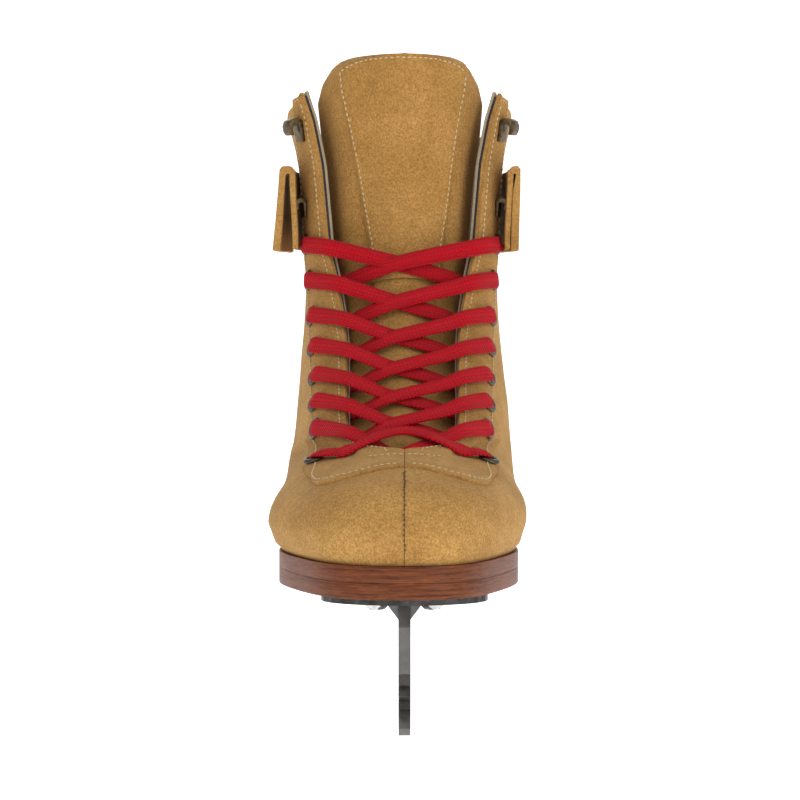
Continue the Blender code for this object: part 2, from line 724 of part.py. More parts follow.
def tongue():
    low = [5.0, 6.0, 7.0, 8.5, 10.0, 11.5, TONGUE_SPLIT - 0.04]
    high = [TONGUE_SPLIT + 0.04, 14.5, 15.8, 17.0, 17.5, 18.0]

    def relief(share):
        return 0.55 * abs(share) ** 1.5

    tongue_piece("tongue_lower", low, (0.0, 6.0), "suede")
    tongue_piece("tongue_lower_lining", low, (6.4, 8.0), "lining")
    pivot = (0.0, *TONGUE_AXIS)
    top = tongue_piece("tongue_upper", high, (0.0, 6.0), "suede", relief, pivot)
    back = tongue_piece("tongue_upper_lining", high, (6.4, 8.0), "lining", relief, pivot)
    back.parent = top
    back.matrix_parent_inverse = top.matrix_world.inverted()
    back.location = (0.0, 0.0, 0.0)
    back.matrix_parent_inverse = Matrix.Identity(4)


def lace_keeper():
    """Small arched strap on the tongue, between the two upper rows."""
    outer = []
    inner = []
    for z, half in ((179.5, 15.0), (184.0, 13.5), (187.5, 9.0)):
        outer_row = []
        inner_row = []
        for k in range(-4, 5):
            x = half * k / 4.0
            u, a, side = front(x if abs(x) > 0.01 else 0.01, z)
            base = TONGUE_DEPTH[0] + (TONGUE_DEPTH[1] - TONGUE_DEPTH[0]) * smooth(abs(x) / 22.0)
            outer_row.append(wall(u, a, side, base - 2.3))
            inner_row.append(wall(u, a, side, base - 1.6))
        outer.append(outer_row)
        inner.append(inner_row)
    add_mesh("lace_keeper", loft(outer, inner), "suede_trim")


# ---------------------------------------------------------------- lace

def lay(x, z, h):
    """Point and normal at a height over the boot's front surface, across the opening too."""
    u, a, side = front(x if abs(x) > 0.02 else 0.02, z)
    return wall(u, a, side, -h), normal(u, a, side)


def eyelet_frame(side, row):
    z, x = EYELETS[row]
    u, a, _ = front(side * x * SIDE_SHARE[side], z)
    return wall(u, a, side, 0.0), normal(u, a, side)


def dive(centre, n, arrive, leave):
    """Stations through an eyelet from outside to inside: point, half-width, half-thickness."""
    t_in = (arrive - n * arrive.dot(n)).normalized()
    t_out = (leave - n * leave.dot(n)).normalized()
    full = 0.5 * LACE_WIDTH
    thick = 0.5 * LACE_THICK
    return [
        (centre - t_in * 6.5 + n * 2.6, full * 0.86, thick, n),
        (centre - t_in * 3.4 + n * 2.95, full * 0.55, 0.7, n),
        (centre - t_in * 0.7 + n * 2.75, 1.2, 0.5, None),
        (centre + n * 1.5, 1.0, 0.55, None),
        (centre - n * 5.0, 1.3, 0.55, None),
        (centre + t_out * 0.9 - n * 6.9, 1.5, 0.6, None),
        (centre + t_out * 3.6 + n * LACE_UNDER, full * 0.6, thick, n),
        (centre + t_out * 6.6 + n * LACE_UNDER, full * 0.86, thick, n),
    ]


def lace_path():
    """Whole lace: one free end inside the boot, down and up through the rows, the other free end."""
    halves = []
    for first in (-1, 1):
        stations = []
        side = first
        for row in range(0, 7):
            run = strand_from(side, row)
            centre, n = eyelet_frame(-side, row + 1)
            ahead = strand_from(-side, row + 1)[0][0] if row < 6 else free_end(-side)[0][0]
            stations += run
            stations += dive(centre, n, centre - run[-1][0], ahead - centre)
            side = -side
        stations += free_end(side)
        halves.append(stations)
    bar = bar_stations()
    lead_in = dive_bar(-1)
    lead_out = dive_bar(1)
    return list(reversed(halves[0])) + list(reversed(lead_in)) + bar + lead_out + halves[1]


def strand_from(side, row):
    """strand() for the lace that starts under the facing of one side."""
    z0, x0 = EYELETS[row]
    z1, x1 = EYELETS[min(row + 1, 7)]
    x0 *= SIDE_SHARE[side]
    x1 *= SIDE_SHARE[-side]
    rise = 1.15 if side < 0 else -1.15
    lift = 0.9 if row == 6 else 0.0
    edge0 = max(linear(SLOT, z0), 20.0)
    edge1 = linear(SLOT, z1)
    marks = [
        (-edge0 - 0.5, LACE_UNDER),
        (-edge0 + 7.0, LACE_UNDER + (1.9 if row else -0.6)),
        (-8.0, (-3.4 + 0.8 * rise + lift) if row else -7.6),
        (0.0, -2.3 + rise + lift - (0.0 if row else 1.0)),
        (8.0, -1.4 + 0.8 * rise + lift),
        (edge1 - 7.0, 0.5),
        (edge1 - 0.5, LACE_OVER + 0.35),
    ]
    stations = []
    for x, h in marks:
        share = (x + x0) / (x0 + x1)
        point, n = lay(-side * x, z0 + (z1 - z0) * share, h)
        stations.append((point, 0.5 * LACE_WIDTH, 0.5 * LACE_THICK, n))
    return stations


BAR_Z = 113.3


def bar_height(x):
    """The lowest bar arches up over the throat between its two eyelets."""
    z0, x0 = EYELETS[0]
    return z0 + (BAR_Z - z0) * (1.0 - smooth(abs(x) / x0))


def bar_stations():
    stations = []
    for x in (-26.0, -20.0, -13.0, -6.5, 0.0, 6.5, 13.0, 20.0, 26.0):
        point, n = lay(x, bar_height(x), LACE_OVER)
        stations.append((point, 0.5 * LACE_WIDTH, 0.5 * LACE_THICK, n))
    return stations


def dive_bar(side):
    centre, n = eyelet_frame(side, 0)
    last = lay(side * 26.0, bar_height(26.0), LACE_OVER)[0]
    ahead = strand_from(side, 0)[0][0]
    return dive(centre, n, centre - last, ahead - centre)


def free_end(side):
    """Rest of the lace, tucked away against the lining: back and down the wall, then folded to and
    fro in four flat layers along the side of the footbed."""
    depth = -LACE_UNDER + 1.6
    route = [(12.6, 0.30, depth), (12.2, 0.36, depth), (11.4, 0.42, depth), (10.0, 0.46, depth),
             (8.5, 0.48, depth), (7.0, 0.49, depth), (5.6, 0.50, depth), (4.4, 0.505, depth),
             (3.4, 0.49, depth), (2.8, 0.455, depth), (2.5, 0.41, depth), (2.4, 0.36, depth)]
    for layer in range(4):
        d = depth + LACE_LAYER * layer
        shares = (0.31, 0.27) if layer == 0 else (0.27, 0.32, 0.37, 0.42, 0.47, 0.515)
        if layer == 2:
            shares = shares[::-1]
        route += [(2.35, share, d) for share in shares]
    stations = []
    for u, share, d in route:
        a = share * math.pi
        stations.append((wall(u, a, side, d), 0.5 * LACE_WIDTH, 0.5 * LACE_THICK, normal(u, a, side)))
    return stations


def sweep(stations):
    """Flat cord along its stations; it keeps one side up, with no twist."""
    bm = bmesh.new()
    rings = []
    wide = None
    count = len(stations)
    for i, (point, half_w, half_t, n) in enumerate(stations):
        ahead = stations[min(i + 1, count - 1)][0]
        behind = stations[max(i - 1, 0)][0]
        t = (ahead - behind).normalized()
        if n is not None:
            w = t.cross(n).normalized()
            if wide is not None and w.dot(wide) < 0.0:
                w = -w
        else:
            w = (wide - t * wide.dot(t)).normalized()
        wide = w
        up = w.cross(t).normalized()
        shoulder = half_w - 0.6 * half_t
        section = ((half_w, 0.0), (shoulder, half_t), (-shoulder, half_t), (-half_w, 0.0),
                   (-shoulder, -half_t), (shoulder, -half_t))
        rings.append([bm.verts.new(point + w * a + up * b) for a, b in section])
    for r0, r1 in zip(rings, rings[1:]):
        for k in range(6):
            bm.faces.new((r0[k], r0[(k + 1) % 6], r1[(k + 1) % 6], r1[k]))
    bm.faces.new(rings[0])
    bm.faces.new(rings[-1])
    return bm


# ---------------------------------------------------------------- side flaps

def flaps():
    """Suede flaps over the lower hooks: a leaf hinged along its fold, and a tab on the boot."""
    shapes = {
        -1: ("left", 49.3, [(52.3, 225.0), (53.6, 223.6), (57.0, 189.0), (53.6, 189.0), (51.0, 221.2)]),
        1: ("right", 47.0, [(48.8, 225.0), (49.8, 223.6), (49.4, 189.0), (46.0, 189.0), (46.6, 214.0)]),
    }
    for side, (tag, hinge_x, leaf) in shapes.items():
        knuckle = []
        for i in range(7):
            a = math.radians(-60.0 - 210.0 * i / 6.0)
            knuckle.append((hinge_x + 1.7 * math.cos(a), 223.3 + 1.7 * math.sin(a)))
        outline = [(side * x, z) for x, z in leaf + knuckle]
        middle = 0.5 * (FLAP_Y[0] + FLAP_Y[1])
        origin = (side * hinge_x, middle, 223.3)
        local = [(x - origin[0], z - origin[2]) for x, z in outline]
        flap = flat_curve("flap_" + tag, [local], FLAP_Y[1] - FLAP_Y[0], PARTS)
        flap.rotation_euler = (math.radians(90.0), 0.0, 0.0)
        flap.location = Vector(origin) * MM
        as_mesh(flap, "flap_" + tag, "suede_trim")

        half_shell("flap_tab_" + tag, side, (-1.9, -0.4), (12.85, 13.6), (4.3, 6.6), "suede_trim")


# ---------------------------------------------------------------- build

clear_scene()
PARTS = collection(COLLECTION)
CUTTERS = collection("cutters")

material("suede", (0.47, 0.28, 0.10), 0.9)
material("suede_trim", (0.45, 0.26, 0.09), 0.9)
material("padding", (0.03, 0.03, 0.033), 0.9)
material("lining", (0.50, 0.42, 0.29), 0.9)
material("board", (0.35, 0.25, 0.16), 0.8)
material("leather_sole", (0.19, 0.055, 0.022), 0.45)
material("steel", (0.30, 0.30, 0.29), 0.42, 1.0)
material("screw", (0.62, 0.62, 0.62), 0.2, 1.0)
material("bronze", (0.14, 0.11, 0.07), 0.45, 1.0)
material("lace", (0.60, 0.008, 0.018), 0.85)

boot_walls()
FRONT_HOLES, HEEL_HOLES = sole_and_heel()
blade_and_plates(FRONT_HOLES, HEEL_HOLES)
screws()
eyelets()
hooks()
tongue()
lace_keeper()
flaps()
add_mesh("lace", sweep(lace_path()), "lace")
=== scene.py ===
# %% [markdown]
# # A figure skate, seen from the toe
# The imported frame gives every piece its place. This lesson builds the finer surfaces over it:
# suede, a woven lace, stitches, stacked leather and steel. Lengths are in millimetres until a
# mesh is made, and each mesh then holds its own place in metres.

# %% Load the frame
import math
import random
import bmesh
import bpy
from mathutils import Matrix, Vector


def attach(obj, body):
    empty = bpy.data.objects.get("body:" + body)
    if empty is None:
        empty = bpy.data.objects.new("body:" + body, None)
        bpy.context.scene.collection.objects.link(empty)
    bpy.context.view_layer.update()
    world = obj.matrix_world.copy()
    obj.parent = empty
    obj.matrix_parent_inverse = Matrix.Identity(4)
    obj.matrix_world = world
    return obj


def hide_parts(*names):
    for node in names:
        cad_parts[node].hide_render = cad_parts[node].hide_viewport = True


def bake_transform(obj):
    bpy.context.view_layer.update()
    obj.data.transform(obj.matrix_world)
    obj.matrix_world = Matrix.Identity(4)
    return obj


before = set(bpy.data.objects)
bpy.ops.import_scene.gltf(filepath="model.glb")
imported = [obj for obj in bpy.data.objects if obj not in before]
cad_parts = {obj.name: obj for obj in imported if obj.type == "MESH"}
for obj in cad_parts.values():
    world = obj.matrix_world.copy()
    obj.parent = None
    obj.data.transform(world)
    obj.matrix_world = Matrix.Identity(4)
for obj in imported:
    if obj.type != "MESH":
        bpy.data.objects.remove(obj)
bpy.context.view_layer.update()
BOOT = "boot_and_blade"
MM = 0.001
random.seed(7)

# %% [markdown]
# ## The boot as a fan of rings
# A boot bends from a flat sole to an upright shaft, so no single axis suits it. Each row here is
# a ring round the foot: where it meets the front and the back, and how wide it is in between.
# A smooth curve through the rows gives any point of the leather. Subdividing a rough cage would
# also work, but then nothing else could be placed exactly on the surface.

# %% Ring surface
RINGS = [
    (-148.0, 68.9, 112.0, 98.8, 1.00, 48.0, 50.0, 42.5, 39.0, 0.70),
    (-150.5, 79.0, 113.0, 101.0, 0.85, 50.5, 53.0, 45.0, 40.0, 0.70),
    (-147.0, 89.0, 114.0, 103.0, 0.70, 50.0, 52.5, 45.5, 41.0, 0.70),
    (-138.0, 97.0, 115.0, 105.5, 0.50, 44.0, 46.5, 45.5, 42.0, 0.72),
    (-120.0, 103.0, 115.5, 108.0, 0.33, 30.0, 42.5, 45.0, 42.5, 0.75),
    (-100.0, 106.5, 116.0, 110.5, 0.20, 27.0, 41.0, 44.5, 42.5, 0.78),
    (-75.0, 110.5, 116.3, 113.0, 0.10, 38.0, 43.0, 44.5, 42.5, 0.70),
    (-60.0, 117.0, 116.5, 116.5, 0.05, 43.0, 44.0, 44.3, 42.3, 0.62),
    (-44.0, 127.0, 116.5, 121.0, 0.02, 44.0, 44.3, 44.0, 42.0, 0.58),
    (-29.0, 137.5, 116.0, 127.0, 0.00, 44.0, 44.0, 43.5, 41.5, 0.56),
    (-16.0, 149.0, 114.5, 136.0, 0.00, 43.5, 43.5, 43.0, 40.5, 0.55),
    (-4.0, 161.6, 111.0, 150.0, 0.00, 43.0, 42.6, 42.0, 38.5, 0.55),
    (6.0, 176.3, 107.0, 167.0, 0.00, 42.6, 42.0, 41.5, 36.5, 0.55),
    (13.0, 192.0, 105.0, 186.0, 0.00, 43.0, 42.8, 42.0, 36.5, 0.55),
    (17.0, 208.0, 105.5, 202.0, 0.00, 43.6, 43.4, 42.6, 38.0, 0.55),
    (19.0, 226.0, 108.0, 215.0, 0.00, 44.4, 44.4, 43.6, 39.0, 0.55),
    (20.0, 241.0, 111.0, 226.0, 0.00, 46.0, 46.0, 45.2, 40.5, 0.55),
    (20.0, 256.5, 113.5, 235.0, 0.00, 48.0, 48.0, 47.0, 42.0, 0.55),
    (20.0, 272.0, 116.0, 244.0, 0.00, 49.5, 49.5, 48.5, 43.0, 0.55),
]
# The leather is drawn wider than the frame's upper, by this share at each ring
SWELL = {-1: [(0.0, 1.0), (0.3, 1.055), (1.0, 1.065), (2.0, 1.03), (4.0, 1.035),
              (8.0, 1.03), (14.0, 1.03), (16.0, 1.05), (17.0, 1.08), (18.0, 1.08)],
         1: [(0.0, 1.0), (0.3, 1.045), (1.0, 1.05), (2.0, 1.045), (5.0, 1.07), (8.0, 1.06),
             (10.0, 1.035), (14.0, 1.02), (16.0, 1.03), (17.0, 1.05), (18.0, 1.05)]}
COLUMNS = [[row[k] for row in RINGS] for k in range(10)]
SHARE = {-1: 1.02, 1: 0.95}
LAST_GAP = 2.2
SLOT = [(109.0, 0.0), (109.6, 12.0), (111.0, 19.0), (115.0, 23.0), (125.0, 23.5), (150.0, 24.0),
        (162.0, 25.5), (176.0, 28.5), (192.0, 33.0), (226.0, 36.5), (245.0, 40.5),
        (257.0, 44.5), (280.0, 48.0)]
EYELETS = [(103.5, 35.0), (115.0, 35.0), (125.0, 35.5), (135.5, 36.0), (147.5, 37.0),
           (160.5, 38.0), (176.0, 39.5), (191.5, 41.0)]


def catmull(values, u):
    last = len(values) - 1
    i = min(max(int(math.floor(u)), 0), last - 1)
    f = u - i
    p0, p1, p2, p3 = values[max(i - 1, 0)], values[i], values[i + 1], values[min(i + 2, last)]
    return 0.5 * (2 * p1 + (p2 - p0) * f + (2 * p0 - 5 * p1 + 4 * p2 - p3) * f * f
                  + (3 * p1 - p0 - 3 * p2 + p3) * f * f * f)


def smooth(t):
    t = min(max(t, 0.0), 1.0)
    return t * t * (3.0 - 2.0 * t)


def between(table, x, ease=lambda t: t):
    if x <= table[0][0]:
        return table[0][1]
    for (x0, y0), (x1, y1) in zip(table, table[1:]):
        if x <= x1:
            return y0 + (y1 - y0) * ease((x - x0) / (x1 - x0))
    return table[-1][1]


def sole_z(y):
    return 68.6 + 28.0 * smooth((y + 52.0) / 96.0) + 1.9 * smooth((y - 20.0) / 92.0)


def surface(u, angle, side):
    q = 0.5 * (1.0 - math.cos(angle))
    fy, fz, by, bz, sag, w10, w25, w50, w85, full = (catmull(column, u) for column in COLUMNS)
    z = fz + (bz - fz) * q + sag * (sole_z(260.0 * q - 148.0) + LAST_GAP - 68.9 - 29.9 * q)
    width = between(((0.1, w10), (0.25, w25), (0.5, w50), (0.85, w85)), q, smooth)
    wide = 1.05 - 0.02 * smooth(u / 9.0)
    factor = (wide if side < 0 else 2.0 - wide) * between(SWELL[side], u)
    return Vector((side * width * factor * max(math.sin(angle), 0.0) ** full, fy + (by - fy) * q, z))


def normal(u, angle, side):
    low, high = max(angle - 0.004, 0.0), min(angle + 0.004, math.pi)
    along = surface(u, high, side) - surface(u, low, side)
    up = surface(min(u + 0.6, 18.0), angle, side) - surface(max(u - 0.6, 0.0), angle, side)
    n = along.cross(up).normalized()
    return n if side > 0 else -n


def wall(u, angle, side, depth):
    p = surface(u, angle, side) - normal(u, angle, side) * depth
    if u < 0.02:
        p.z = surface(u, angle, side).z
    return p


def angle_at(u, side, x):
    low, high = 0.0, 0.5 * math.pi
    for _ in range(24):
        mid = 0.5 * (low + high)
        if abs(surface(u, mid, side).x) < x:
            low = mid
        else:
            high = mid
    return 0.5 * (low + high)


def front(x, z):
    side = -1 if x < 0 else 1
    low, high = 1.0, 18.0
    for _ in range(22):
        mid = 0.5 * (low + high)
        if surface(mid, angle_at(mid, side, abs(x)), side).z < z:
            low = mid
        else:
            high = mid
    u = 0.5 * (low + high)
    return u, angle_at(u, side, abs(x)), side


SLOT_ANGLES = {}


def slot_angle(u, side):
    key = (round(u, 3), side)
    if key not in SLOT_ANGLES:
        low, high = 0.0, 0.5 * math.pi
        if surface(u, 0.0, side).z <= SLOT[0][0]:
            high = 0.0
        for _ in range(24):
            mid = 0.5 * (low + high)
            p = surface(u, mid, side)
            if abs(p.x) < between(SLOT, p.z) * SHARE[side]:
                low = mid
            else:
                high = mid
        SLOT_ANGLES[key] = 0.5 * (low + high)
    return SLOT_ANGLES[key]


print("throat at", [round(c, 1) for c in surface(6.0, 0.0, 1)])

# %% [markdown]
# ## Making meshes
# `sheet` starts every soft piece from Blender's own grid and bends it into place, which gives
# clean quads and a UV map at once. Thickness comes from Solidify and soft rims from Bevel.

# %% Mesh helpers
MATS = {}


def finish_mesh(name, bm, mat, body, out_from=None):
    if out_from is not None:
        middle = Vector(out_from)
        facing = sum(f.normal.dot(f.calc_center_median() - middle) * f.calc_area() for f in bm.faces)
        if facing < 0.0:
            bmesh.ops.reverse_faces(bm, faces=bm.faces)
    bmesh.ops.scale(bm, vec=(MM, MM, MM), verts=bm.verts)
    mesh = bpy.data.meshes.new(name)
    bm.to_mesh(mesh)
    bm.free()
    mesh.shade_smooth()
    mesh.materials.append(MATS[mat])
    obj = bpy.data.objects.new(name, mesh)
    bpy.context.scene.collection.objects.link(obj)
    if body:
        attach(obj, body)
    return obj


def grid(cols, rows, place):
    bm = bmesh.new()
    bm.loops.layers.uv.new("UVMap")
    bmesh.ops.create_grid(bm, x_segments=cols, y_segments=rows, size=1.0, calc_uvs=True)
    for v in bm.verts:
        v.co = place(0.5 + 0.5 * v.co.x, 0.5 + 0.5 * v.co.y)
    bm.normal_update()
    return bm


def thicken(obj, thick, rim=0.35, offset=-1.0):
    solid = obj.modifiers.new("thickness", "SOLIDIFY")
    solid.thickness = thick * MM
    solid.offset = offset
    if rim:
        bevel = obj.modifiers.new("rim", "BEVEL")
        bevel.width = rim * MM
        bevel.segments = 2
        bevel.limit_method = "ANGLE"
        bevel.angle_limit = math.radians(60.0)
    return obj


def sheet(name, cols, rows, place, thick, mat, body=BOOT, rim=0.35, out_from=(0.0, 30.0, 130.0)):
    return thicken(finish_mesh(name, grid(cols, rows, place), mat, body, out_from), thick, rim)


def stitches(name, path, mat, pitch=2.5, length=1.9, radius=0.38, body=BOOT, jitter=0.08):
    """Thread along a path of (point, normal): one small capsule for each stitch."""
    bm = bmesh.new()
    left = 0.5 * pitch
    for (p0, n0), (p1, n1) in zip(path, path[1:]):
        span = (p1 - p0).length
        while left <= span and span > 0.0:
            n = n0.lerp(n1, left / span).normalized()
            t = (p1 - p0).normalized()
            wide = n.cross(t).normalized()
            turn = Matrix((t, wide, n)).transposed().to_4x4()
            at = p0.lerp(p1, left / span) + wide * random.uniform(-jitter, jitter) + n * radius * 0.25
            scale = Matrix.Diagonal((0.5 * length, radius, radius, 1.0))
            bmesh.ops.create_icosphere(bm, subdivisions=1, radius=1.0,
                                       matrix=Matrix.Translation(at) @ turn @ scale)
            left += pitch * random.uniform(0.95, 1.05)
        left -= span
    return finish_mesh(name, bm, mat, body)


print("shapes are drawn in millimetres, then scaled by", MM)

# %% [markdown]
# ## Materials
# Each finish is procedural and reads object coordinates in metres, so its grain keeps its real
# size. Suede needs three scales: brushed patches, soft mottling and a fine nap in the bump.

# %% Materials


def tree(name, colour, rough, metal=0.0, **sockets):
    mat = bpy.data.materials.new(name)
    mat.use_nodes = True
    nt = mat.node_tree
    shader = nt.nodes["Principled BSDF"]
    shader.inputs["Base Color"].default_value = (*colour, 1.0)
    shader.inputs["Roughness"].default_value = rough
    shader.inputs["Metallic"].default_value = metal
    for key, value in sockets.items():
        shader.inputs[key.replace("_", " ").title().replace("Ior", "IOR")].default_value = value
    MATS[name] = mat
    return nt, shader


def noise(nt, scale, detail=3.0, rough=0.55, stretch=(1.0, 1.0, 1.0), kind="ShaderNodeTexNoise"):
    coords = nt.nodes.new("ShaderNodeTexCoord")
    mapping = nt.nodes.new("ShaderNodeMapping")
    mapping.inputs["Scale"].default_value = stretch
    tex = nt.nodes.new(kind)
    tex.inputs["Scale"].default_value = scale
    if kind == "ShaderNodeTexNoise":
        tex.inputs["Detail"].default_value = detail
        tex.inputs["Roughness"].default_value = rough
    nt.links.new(coords.outputs["Object"], mapping.inputs["Vector"])
    nt.links.new(mapping.outputs["Vector"], tex.inputs["Vector"])
    return tex.outputs[0]


def ramp(nt, value, stops):
    node = nt.nodes.new("ShaderNodeValToRGB")
    node.color_ramp.elements[0].position = stops[0][0]
    node.color_ramp.elements[0].color = (*stops[0][1], 1.0)
    node.color_ramp.elements[1].position = stops[-1][0]
    node.color_ramp.elements[1].color = (*stops[-1][1], 1.0)
    for place, colour in stops[1:-1]:
        node.color_ramp.elements.new(place).color = (*colour, 1.0)
    nt.links.new(value, node.inputs["Fac"])
    return node.outputs["Color"]


def mix(nt, a, b, factor, blend="MIX"):
    node = nt.nodes.new("ShaderNodeMix")
    node.data_type = "RGBA"
    node.blend_type = blend
    for socket, value in ((node.inputs[6], a), (node.inputs[7], b)):
        if isinstance(value, tuple):
            socket.default_value = (*value, 1.0)
        else:
            nt.links.new(value, socket)
    if isinstance(factor, float):
        node.inputs[0].default_value = factor
    else:
        nt.links.new(factor, node.inputs[0])
    return node.outputs[2]


def bump(nt, shader, height, strength, distance, under=None):
    node = nt.nodes.new("ShaderNodeBump")
    node.inputs["Strength"].default_value = strength
    node.inputs["Distance"].default_value = distance * MM
    nt.links.new(height, node.inputs["Height"])
    if under is not None:
        nt.links.new(under, node.inputs["Normal"])
    nt.links.new(node.outputs["Normal"], shader.inputs["Normal"])
    return node.outputs["Normal"]


def maths(nt, operation, a, b=None):
    node = nt.nodes.new("ShaderNodeMath")
    node.operation = operation
    for socket, value in zip(node.inputs, (a, b)):
        if value is None:
            continue
        if isinstance(value, (int, float)):
            socket.default_value = value
        else:
            nt.links.new(value, socket)
    return node.outputs[0]


def suede(name, light, dark, deep, patch=45.0):
    nt, shader = tree(name, light, 0.93, sheen_weight=0.10, sheen_roughness=0.5, specular_ior_level=0.12)
    shader.inputs["Sheen Tint"].default_value = (1.0, 0.85, 0.6, 1.0)
    brushed = ramp(nt, noise(nt, patch, 4.0, 0.6), [(0.34, dark), (0.66, light)])
    mottle = ramp(nt, noise(nt, 260.0, 5.0, 0.7), [(0.3, (0.78, 0.78, 0.78)), (0.7, (1.06, 1.06, 1.06))])
    grain = ramp(nt, noise(nt, 1150.0, 4.0, 0.75), [(0.37, (0.62, 0.60, 0.57)), (0.63, (1.26, 1.27, 1.28))])
    spots = ramp(nt, noise(nt, 90.0, 2.0), [(0.62, (0.0, 0.0, 0.0)), (0.8, (0.5, 0.5, 0.5))])
    colour = mix(nt, mix(nt, brushed, mottle, 0.6, "MULTIPLY"), grain, 0.9, "MULTIPLY")
    colour = mix(nt, colour, deep, spots)
    nt.links.new(colour, shader.inputs["Base Color"])
    nap = bump(nt, shader, noise(nt, 1700.0, 3.0, 0.7), 0.55, 0.25)
    bump(nt, shader, noise(nt, 130.0, 2.0), 0.25, 0.5, nap)


suede("suede", (0.470, 0.262, 0.078), (0.375, 0.196, 0.054), (0.27, 0.135, 0.036))
suede("suede_trim", (0.455, 0.250, 0.074), (0.365, 0.190, 0.052), (0.26, 0.13, 0.035), 60.0)
suede("tongue", (0.435, 0.235, 0.070), (0.365, 0.188, 0.050), (0.26, 0.13, 0.034), 38.0)

nt, shader = tree("lace", (0.62, 0.006, 0.018), 0.72, sheen_weight=0.04, sheen_roughness=0.4,
                  specular_ior_level=0.10)
uv = nt.nodes.new("ShaderNodeUVMap")
split = nt.nodes.new("ShaderNodeSeparateXYZ")
nt.links.new(uv.outputs["UV"], split.inputs[0])
across = maths(nt, "PINGPONG", maths(nt, "MULTIPLY", split.outputs[0], 5.0), 0.5)
along = maths(nt, "MULTIPLY", split.outputs[1], 640.0)
rib = maths(nt, "PINGPONG", maths(nt, "ADD", along, maths(nt, "MULTIPLY", across, 2.6)), 0.5)
weave = maths(nt, "MULTIPLY", rib, 2.0)
groove = maths(nt, "SMOOTH_MIN", maths(nt, "MULTIPLY", across, 6.0), 1.0)
height = maths(nt, "MULTIPLY", weave, maths(nt, "ADD", maths(nt, "MULTIPLY", groove, 0.5), 0.5))
# The lace colour follows the weave's height: painted shade in its hollows and painted light on its ridges.
red_with_painted_weave_shade = ramp(nt, height, [(0.05, (0.16, 0.001, 0.003)), (0.42, (0.82, 0.004, 0.016)),
                        (0.9, (1.0, 0.008, 0.028))])
fray = ramp(nt, noise(nt, 1500.0, 2.0), [(0.3, (0.8, 0.8, 0.8)), (0.7, (1.1, 1.1, 1.1))])
nt.links.new(mix(nt, red_with_painted_weave_shade, fray, 0.6, "MULTIPLY"), shader.inputs["Base Color"])
bump(nt, shader, height, 1.0, 0.6)

nt, shader = tree("leather_sole", (0.10, 0.025, 0.008), 0.5, coat_weight=0.07, coat_roughness=0.35,
                  specular_ior_level=0.2)
streak = noise(nt, 85.0, 6.0, 0.7, (0.5, 0.5, 11.0))
fine = noise(nt, 700.0, 3.0, 0.7, (0.35, 0.35, 2.6))
brown = ramp(nt, streak, [(0.32, (0.042, 0.009, 0.002)), (0.46, (0.125, 0.031, 0.007)),
                          (0.58, (0.190, 0.052, 0.013)), (0.70, (0.070, 0.016, 0.004))])
specks = ramp(nt, fine, [(0.35, (0.62, 0.58, 0.55)), (0.66, (1.2, 1.15, 1.1))])
nt.links.new(mix(nt, brown, specks, 0.8, "MULTIPLY"), shader.inputs["Base Color"])
bump(nt, shader, fine, 0.35, 0.2)


def metal(name, colour, dark, rough, scale, amount=0.5):
    nt, shader = tree(name, colour, rough, 1.0)
    cloud = noise(nt, scale, 6.0, 0.7)
    nt.links.new(ramp(nt, cloud, [(0.32, dark), (0.68, colour)]), shader.inputs["Base Color"])
    wear = ramp(nt, noise(nt, scale * 2.3, 4.0), [(0.3, (rough - 0.1,) * 3), (0.7, (rough + 0.15,) * 3)])
    nt.links.new(wear, shader.inputs["Roughness"])
    bump(nt, shader, noise(nt, scale * 9.0, 3.0, 0.7), amount, 0.08)


# The blade and plate colours are painted shade: far darker than bare steel, standing in for the shade under
# the boot that the glowing floor would otherwise light.
metal("blade_steel", (0.160, 0.158, 0.153), (0.112, 0.110, 0.106), 0.44, 120.0, 0.25)
metal("plate_steel", (0.095, 0.093, 0.090), (0.035, 0.034, 0.033), 0.45, 180.0)
metal("screw", (0.72, 0.72, 0.71), (0.42, 0.42, 0.42), 0.16, 400.0, 0.2)
metal("bronze", (0.17, 0.122, 0.065), (0.035, 0.026, 0.016), 0.42, 500.0, 0.8)
metal("eyelet_metal", (0.16, 0.13, 0.09), (0.04, 0.035, 0.028), 0.42, 500.0, 0.4)


def cloth(name, light, dark, scale, depth, rough=0.95):
    nt, shader = tree(name, light, rough, sheen_weight=0.2, specular_ior_level=0.2)
    fuzz = noise(nt, scale, 4.0, 0.7)
    nt.links.new(ramp(nt, fuzz, [(0.3, dark), (0.7, light)]), shader.inputs["Base Color"])
    bump(nt, shader, fuzz, 0.7, depth)


cloth("lining", (0.43, 0.35, 0.235), (0.28, 0.22, 0.14), 900.0, 0.3)
cloth("padding", (0.035, 0.037, 0.042), (0.012, 0.013, 0.015), 1200.0, 0.3)
cloth("thread", (0.66, 0.50, 0.27), (0.44, 0.31, 0.15), 2200.0, 0.12, 0.7)
cloth("thread_dark", (0.16, 0.085, 0.03), (0.07, 0.035, 0.014), 2200.0, 0.12, 0.8)
cloth("board", (0.30, 0.20, 0.12), (0.20, 0.13, 0.075), 600.0, 0.2)
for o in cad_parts.values():
    for s in o.material_slots:
        if s.material and s.material.name.split(".")[0] in MATS:
            s.material = MATS[s.material.name.split(".")[0]]
print(len(MATS), "materials")

# %% [markdown]
# ## Camera, light and floor
# A long lens keeps the sides of the boot parallel. Big soft panels on both sides give suede its
# even look; a white floor well below keeps the blade's tip from blending into a shadow.

# %% Camera and stage
cam_data = bpy.data.cameras.new("camera")
cam_data.lens = 133.8
cam_data.shift_x = -0.0056
camera = bpy.data.objects.new("camera", cam_data)
camera.location = (0.0, -1.250, 0.167)
camera.rotation_euler = (math.radians(90.0 - 1.9), 0.0, 0.0)
bpy.context.scene.collection.objects.link(camera)
bpy.context.scene.camera = camera


